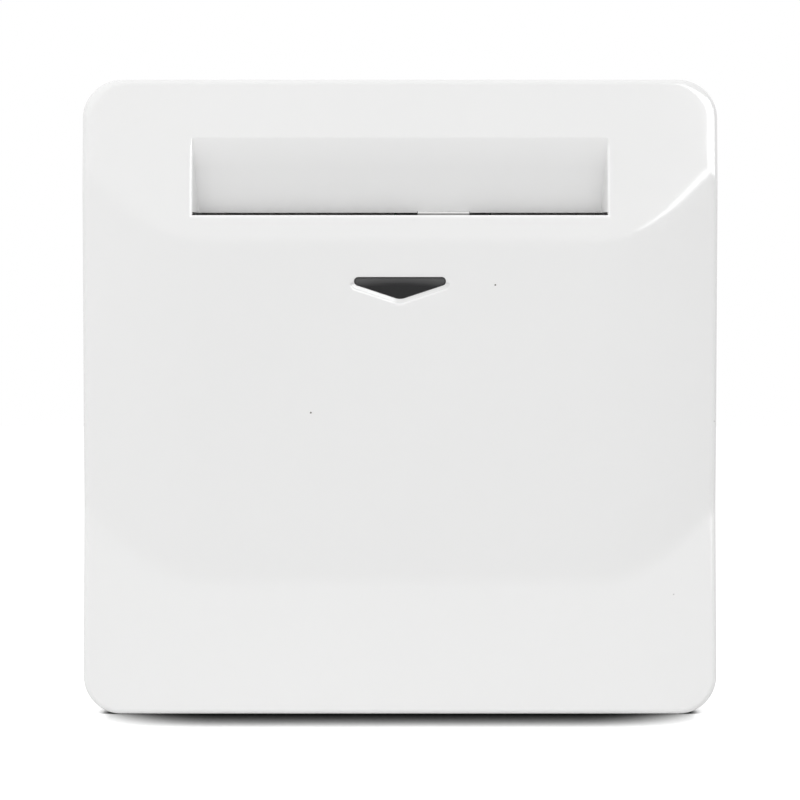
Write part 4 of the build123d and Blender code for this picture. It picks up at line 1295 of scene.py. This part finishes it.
def makeCamera():
    v = view
    data = bpy.data.cameras.new("camera")
    camera = newObject("camera", data)
    camera.location = (0, -(v["planeDepth"] + v["distance"]) * mm, 0)
    camera.rotation_euler = (math.pi / 2, 0, 0)
    data.sensor_width = v["sensor"]
    data.lens = v["scale"] * v["distance"] * v["sensor"] / v["pixels"]
    data.shift_y = -v["centreUp"] / v["pixels"]
    data.clip_start = v["clipNear"] * mm
    data.clip_end = v["clipFar"] * mm
    bpy.context.scene.camera = camera


# White for what the camera, gloss and glass see, and a plain level for the light that falls on the object
def makeWorld():
    world = bpy.data.worlds.new("studio")
    bpy.context.scene.world = world
    world.use_nodes = True
    tree = world.node_tree
    tree.nodes.clear()
    path = addNode(tree, "ShaderNodeLightPath").outputs
    shiny = sums(tree, "MAXIMUM", path["Is Glossy Ray"], path["Is Transmission Ray"])
    mix = addNode(tree, "ShaderNodeMixShader")
    feed(mix.inputs[0], sums(tree, "MAXIMUM", shiny, path["Is Camera Ray"]))
    for socket, strength in ((mix.inputs[1], stage["ambient"]), (mix.inputs[2], 1.0)):
        background = setInputs(addNode(tree, "ShaderNodeBackground"), Color=(1, 1, 1, 1), Strength=strength)
        feed(socket, background.outputs[0])
    setInputs(addNode(tree, "ShaderNodeOutputWorld"), Surface=mix.outputs[0])


# Flat lamp that faces the object, with its brightness given as radiance
def makePanel(name, turn, rise, distance, size, radiance, aim=(0, 0, 0), unseenBy="glossy"):
    data = bpy.data.lights.new(name, "AREA")
    data.shape = "RECTANGLE"
    data.size, data.size_y = size[0] * mm, size[1] * mm
    data.energy = radiance * math.pi * data.size * data.size_y
    panel = newObject(name, data)
    turn, rise = math.radians(turn), math.radians(rise)
    away = Vector((math.sin(turn) * math.cos(rise), -math.cos(turn) * math.cos(rise), math.sin(rise)))
    panel.location = Vector(aim) * mm + away * distance * mm
    panel.rotation_mode = "QUATERNION"
    panel.rotation_quaternion = away.to_track_quat("Z", "Y")
    panel.visible_camera = False
    setattr(panel, "visible_" + unseenBy, False)


# Smooth fall from 1 to 0 between two distances in millimetres
def fallOff(tree, distance, near, far):
    node = addNode(tree, "ShaderNodeMapRange", interpolation_type="SMOOTHSTEP")
    setInputs(node, Value=distance, From_Min=near * mm, From_Max=far * mm, To_Min=1.0, To_Max=0.0)
    return node.outputs["Result"]


# Pale floor that darkens where the object shuts out the light close to it. The share of open sky is raised
# to a power that is high under and before the plate, low behind it, and nothing out past the corners
def makeFloor():
    s = stage
    reach, z = s["floorHalf"] * mm, s["floorZ"] * mm
    corners = [(-reach, -reach, z), (reach, -reach, z), (reach, reach, z), (-reach, reach, z)]
    mesh = bpy.data.meshes.new("floor")
    mesh.from_pydata(corners, [], [(0, 1, 2, 3)])
    floor = newObject("floor", mesh)
    material, tree, shader = startMaterial("paleFloor", s["floorRoughness"], Specular_IOR_Level=0.0)
    shut = addNode(tree, "ShaderNodeAmbientOcclusion", samples=s["shadowSamples"])
    setInputs(shut, Distance=s["shadowReach"] * mm)
    place = splitPlace(tree)
    aside = sums(tree, "ABSOLUTE", place["X"])
    across = fallOff(tree, aside, s["shadowFull"], s["shadowEnd"])
    before = fallOff(tree, place["Y"], s["shadowNear"], s["shadowFar"])
    gain = s["shadowFront"] - s["shadowBehind"]
    middlePower = sums(tree, "MULTIPLY_ADD", before, gain, s["shadowBehind"])
    rise = sums(tree, "SUBTRACT", middlePower, s["shadowAside"])
    power = sums(tree, "MULTIPLY_ADD", across, rise, s["shadowAside"])
    power = sums(tree, "MULTIPLY", power, fallOff(tree, aside, s["shadowCutFrom"], s["shadowCutTo"]))
    dark = sums(tree, "POWER", shut.outputs["AO"], power)
    toCamera = addNode(tree, "ShaderNodeLightPath").outputs["Is Camera Ray"]
    seen = sums(tree, "MULTIPLY", dark, toCamera)
    level = sums(tree, "MULTIPLY_ADD", sums(tree, "SUBTRACT", 1.0, toCamera), s["floorColour"], seen)
    grey = addNode(tree, "ShaderNodeCombineColor")
    for channel in grey.inputs:
        feed(channel, level)
    glow = sums(tree, "MULTIPLY", seen, s["floorGlow"])
    setInputs(shader, Base_Color=grey.outputs[0], Emission_Color=(1, 1, 1, 1), Emission_Strength=glow)
    mesh.materials.append(material)


makeCamera()
makeWorld()
makeFloor()
for name, values in lamps.items():
    makePanel(name, **values)
bpy.context.scene.view_settings.view_transform = "Standard"
print("stage: floor, lights and camera made")
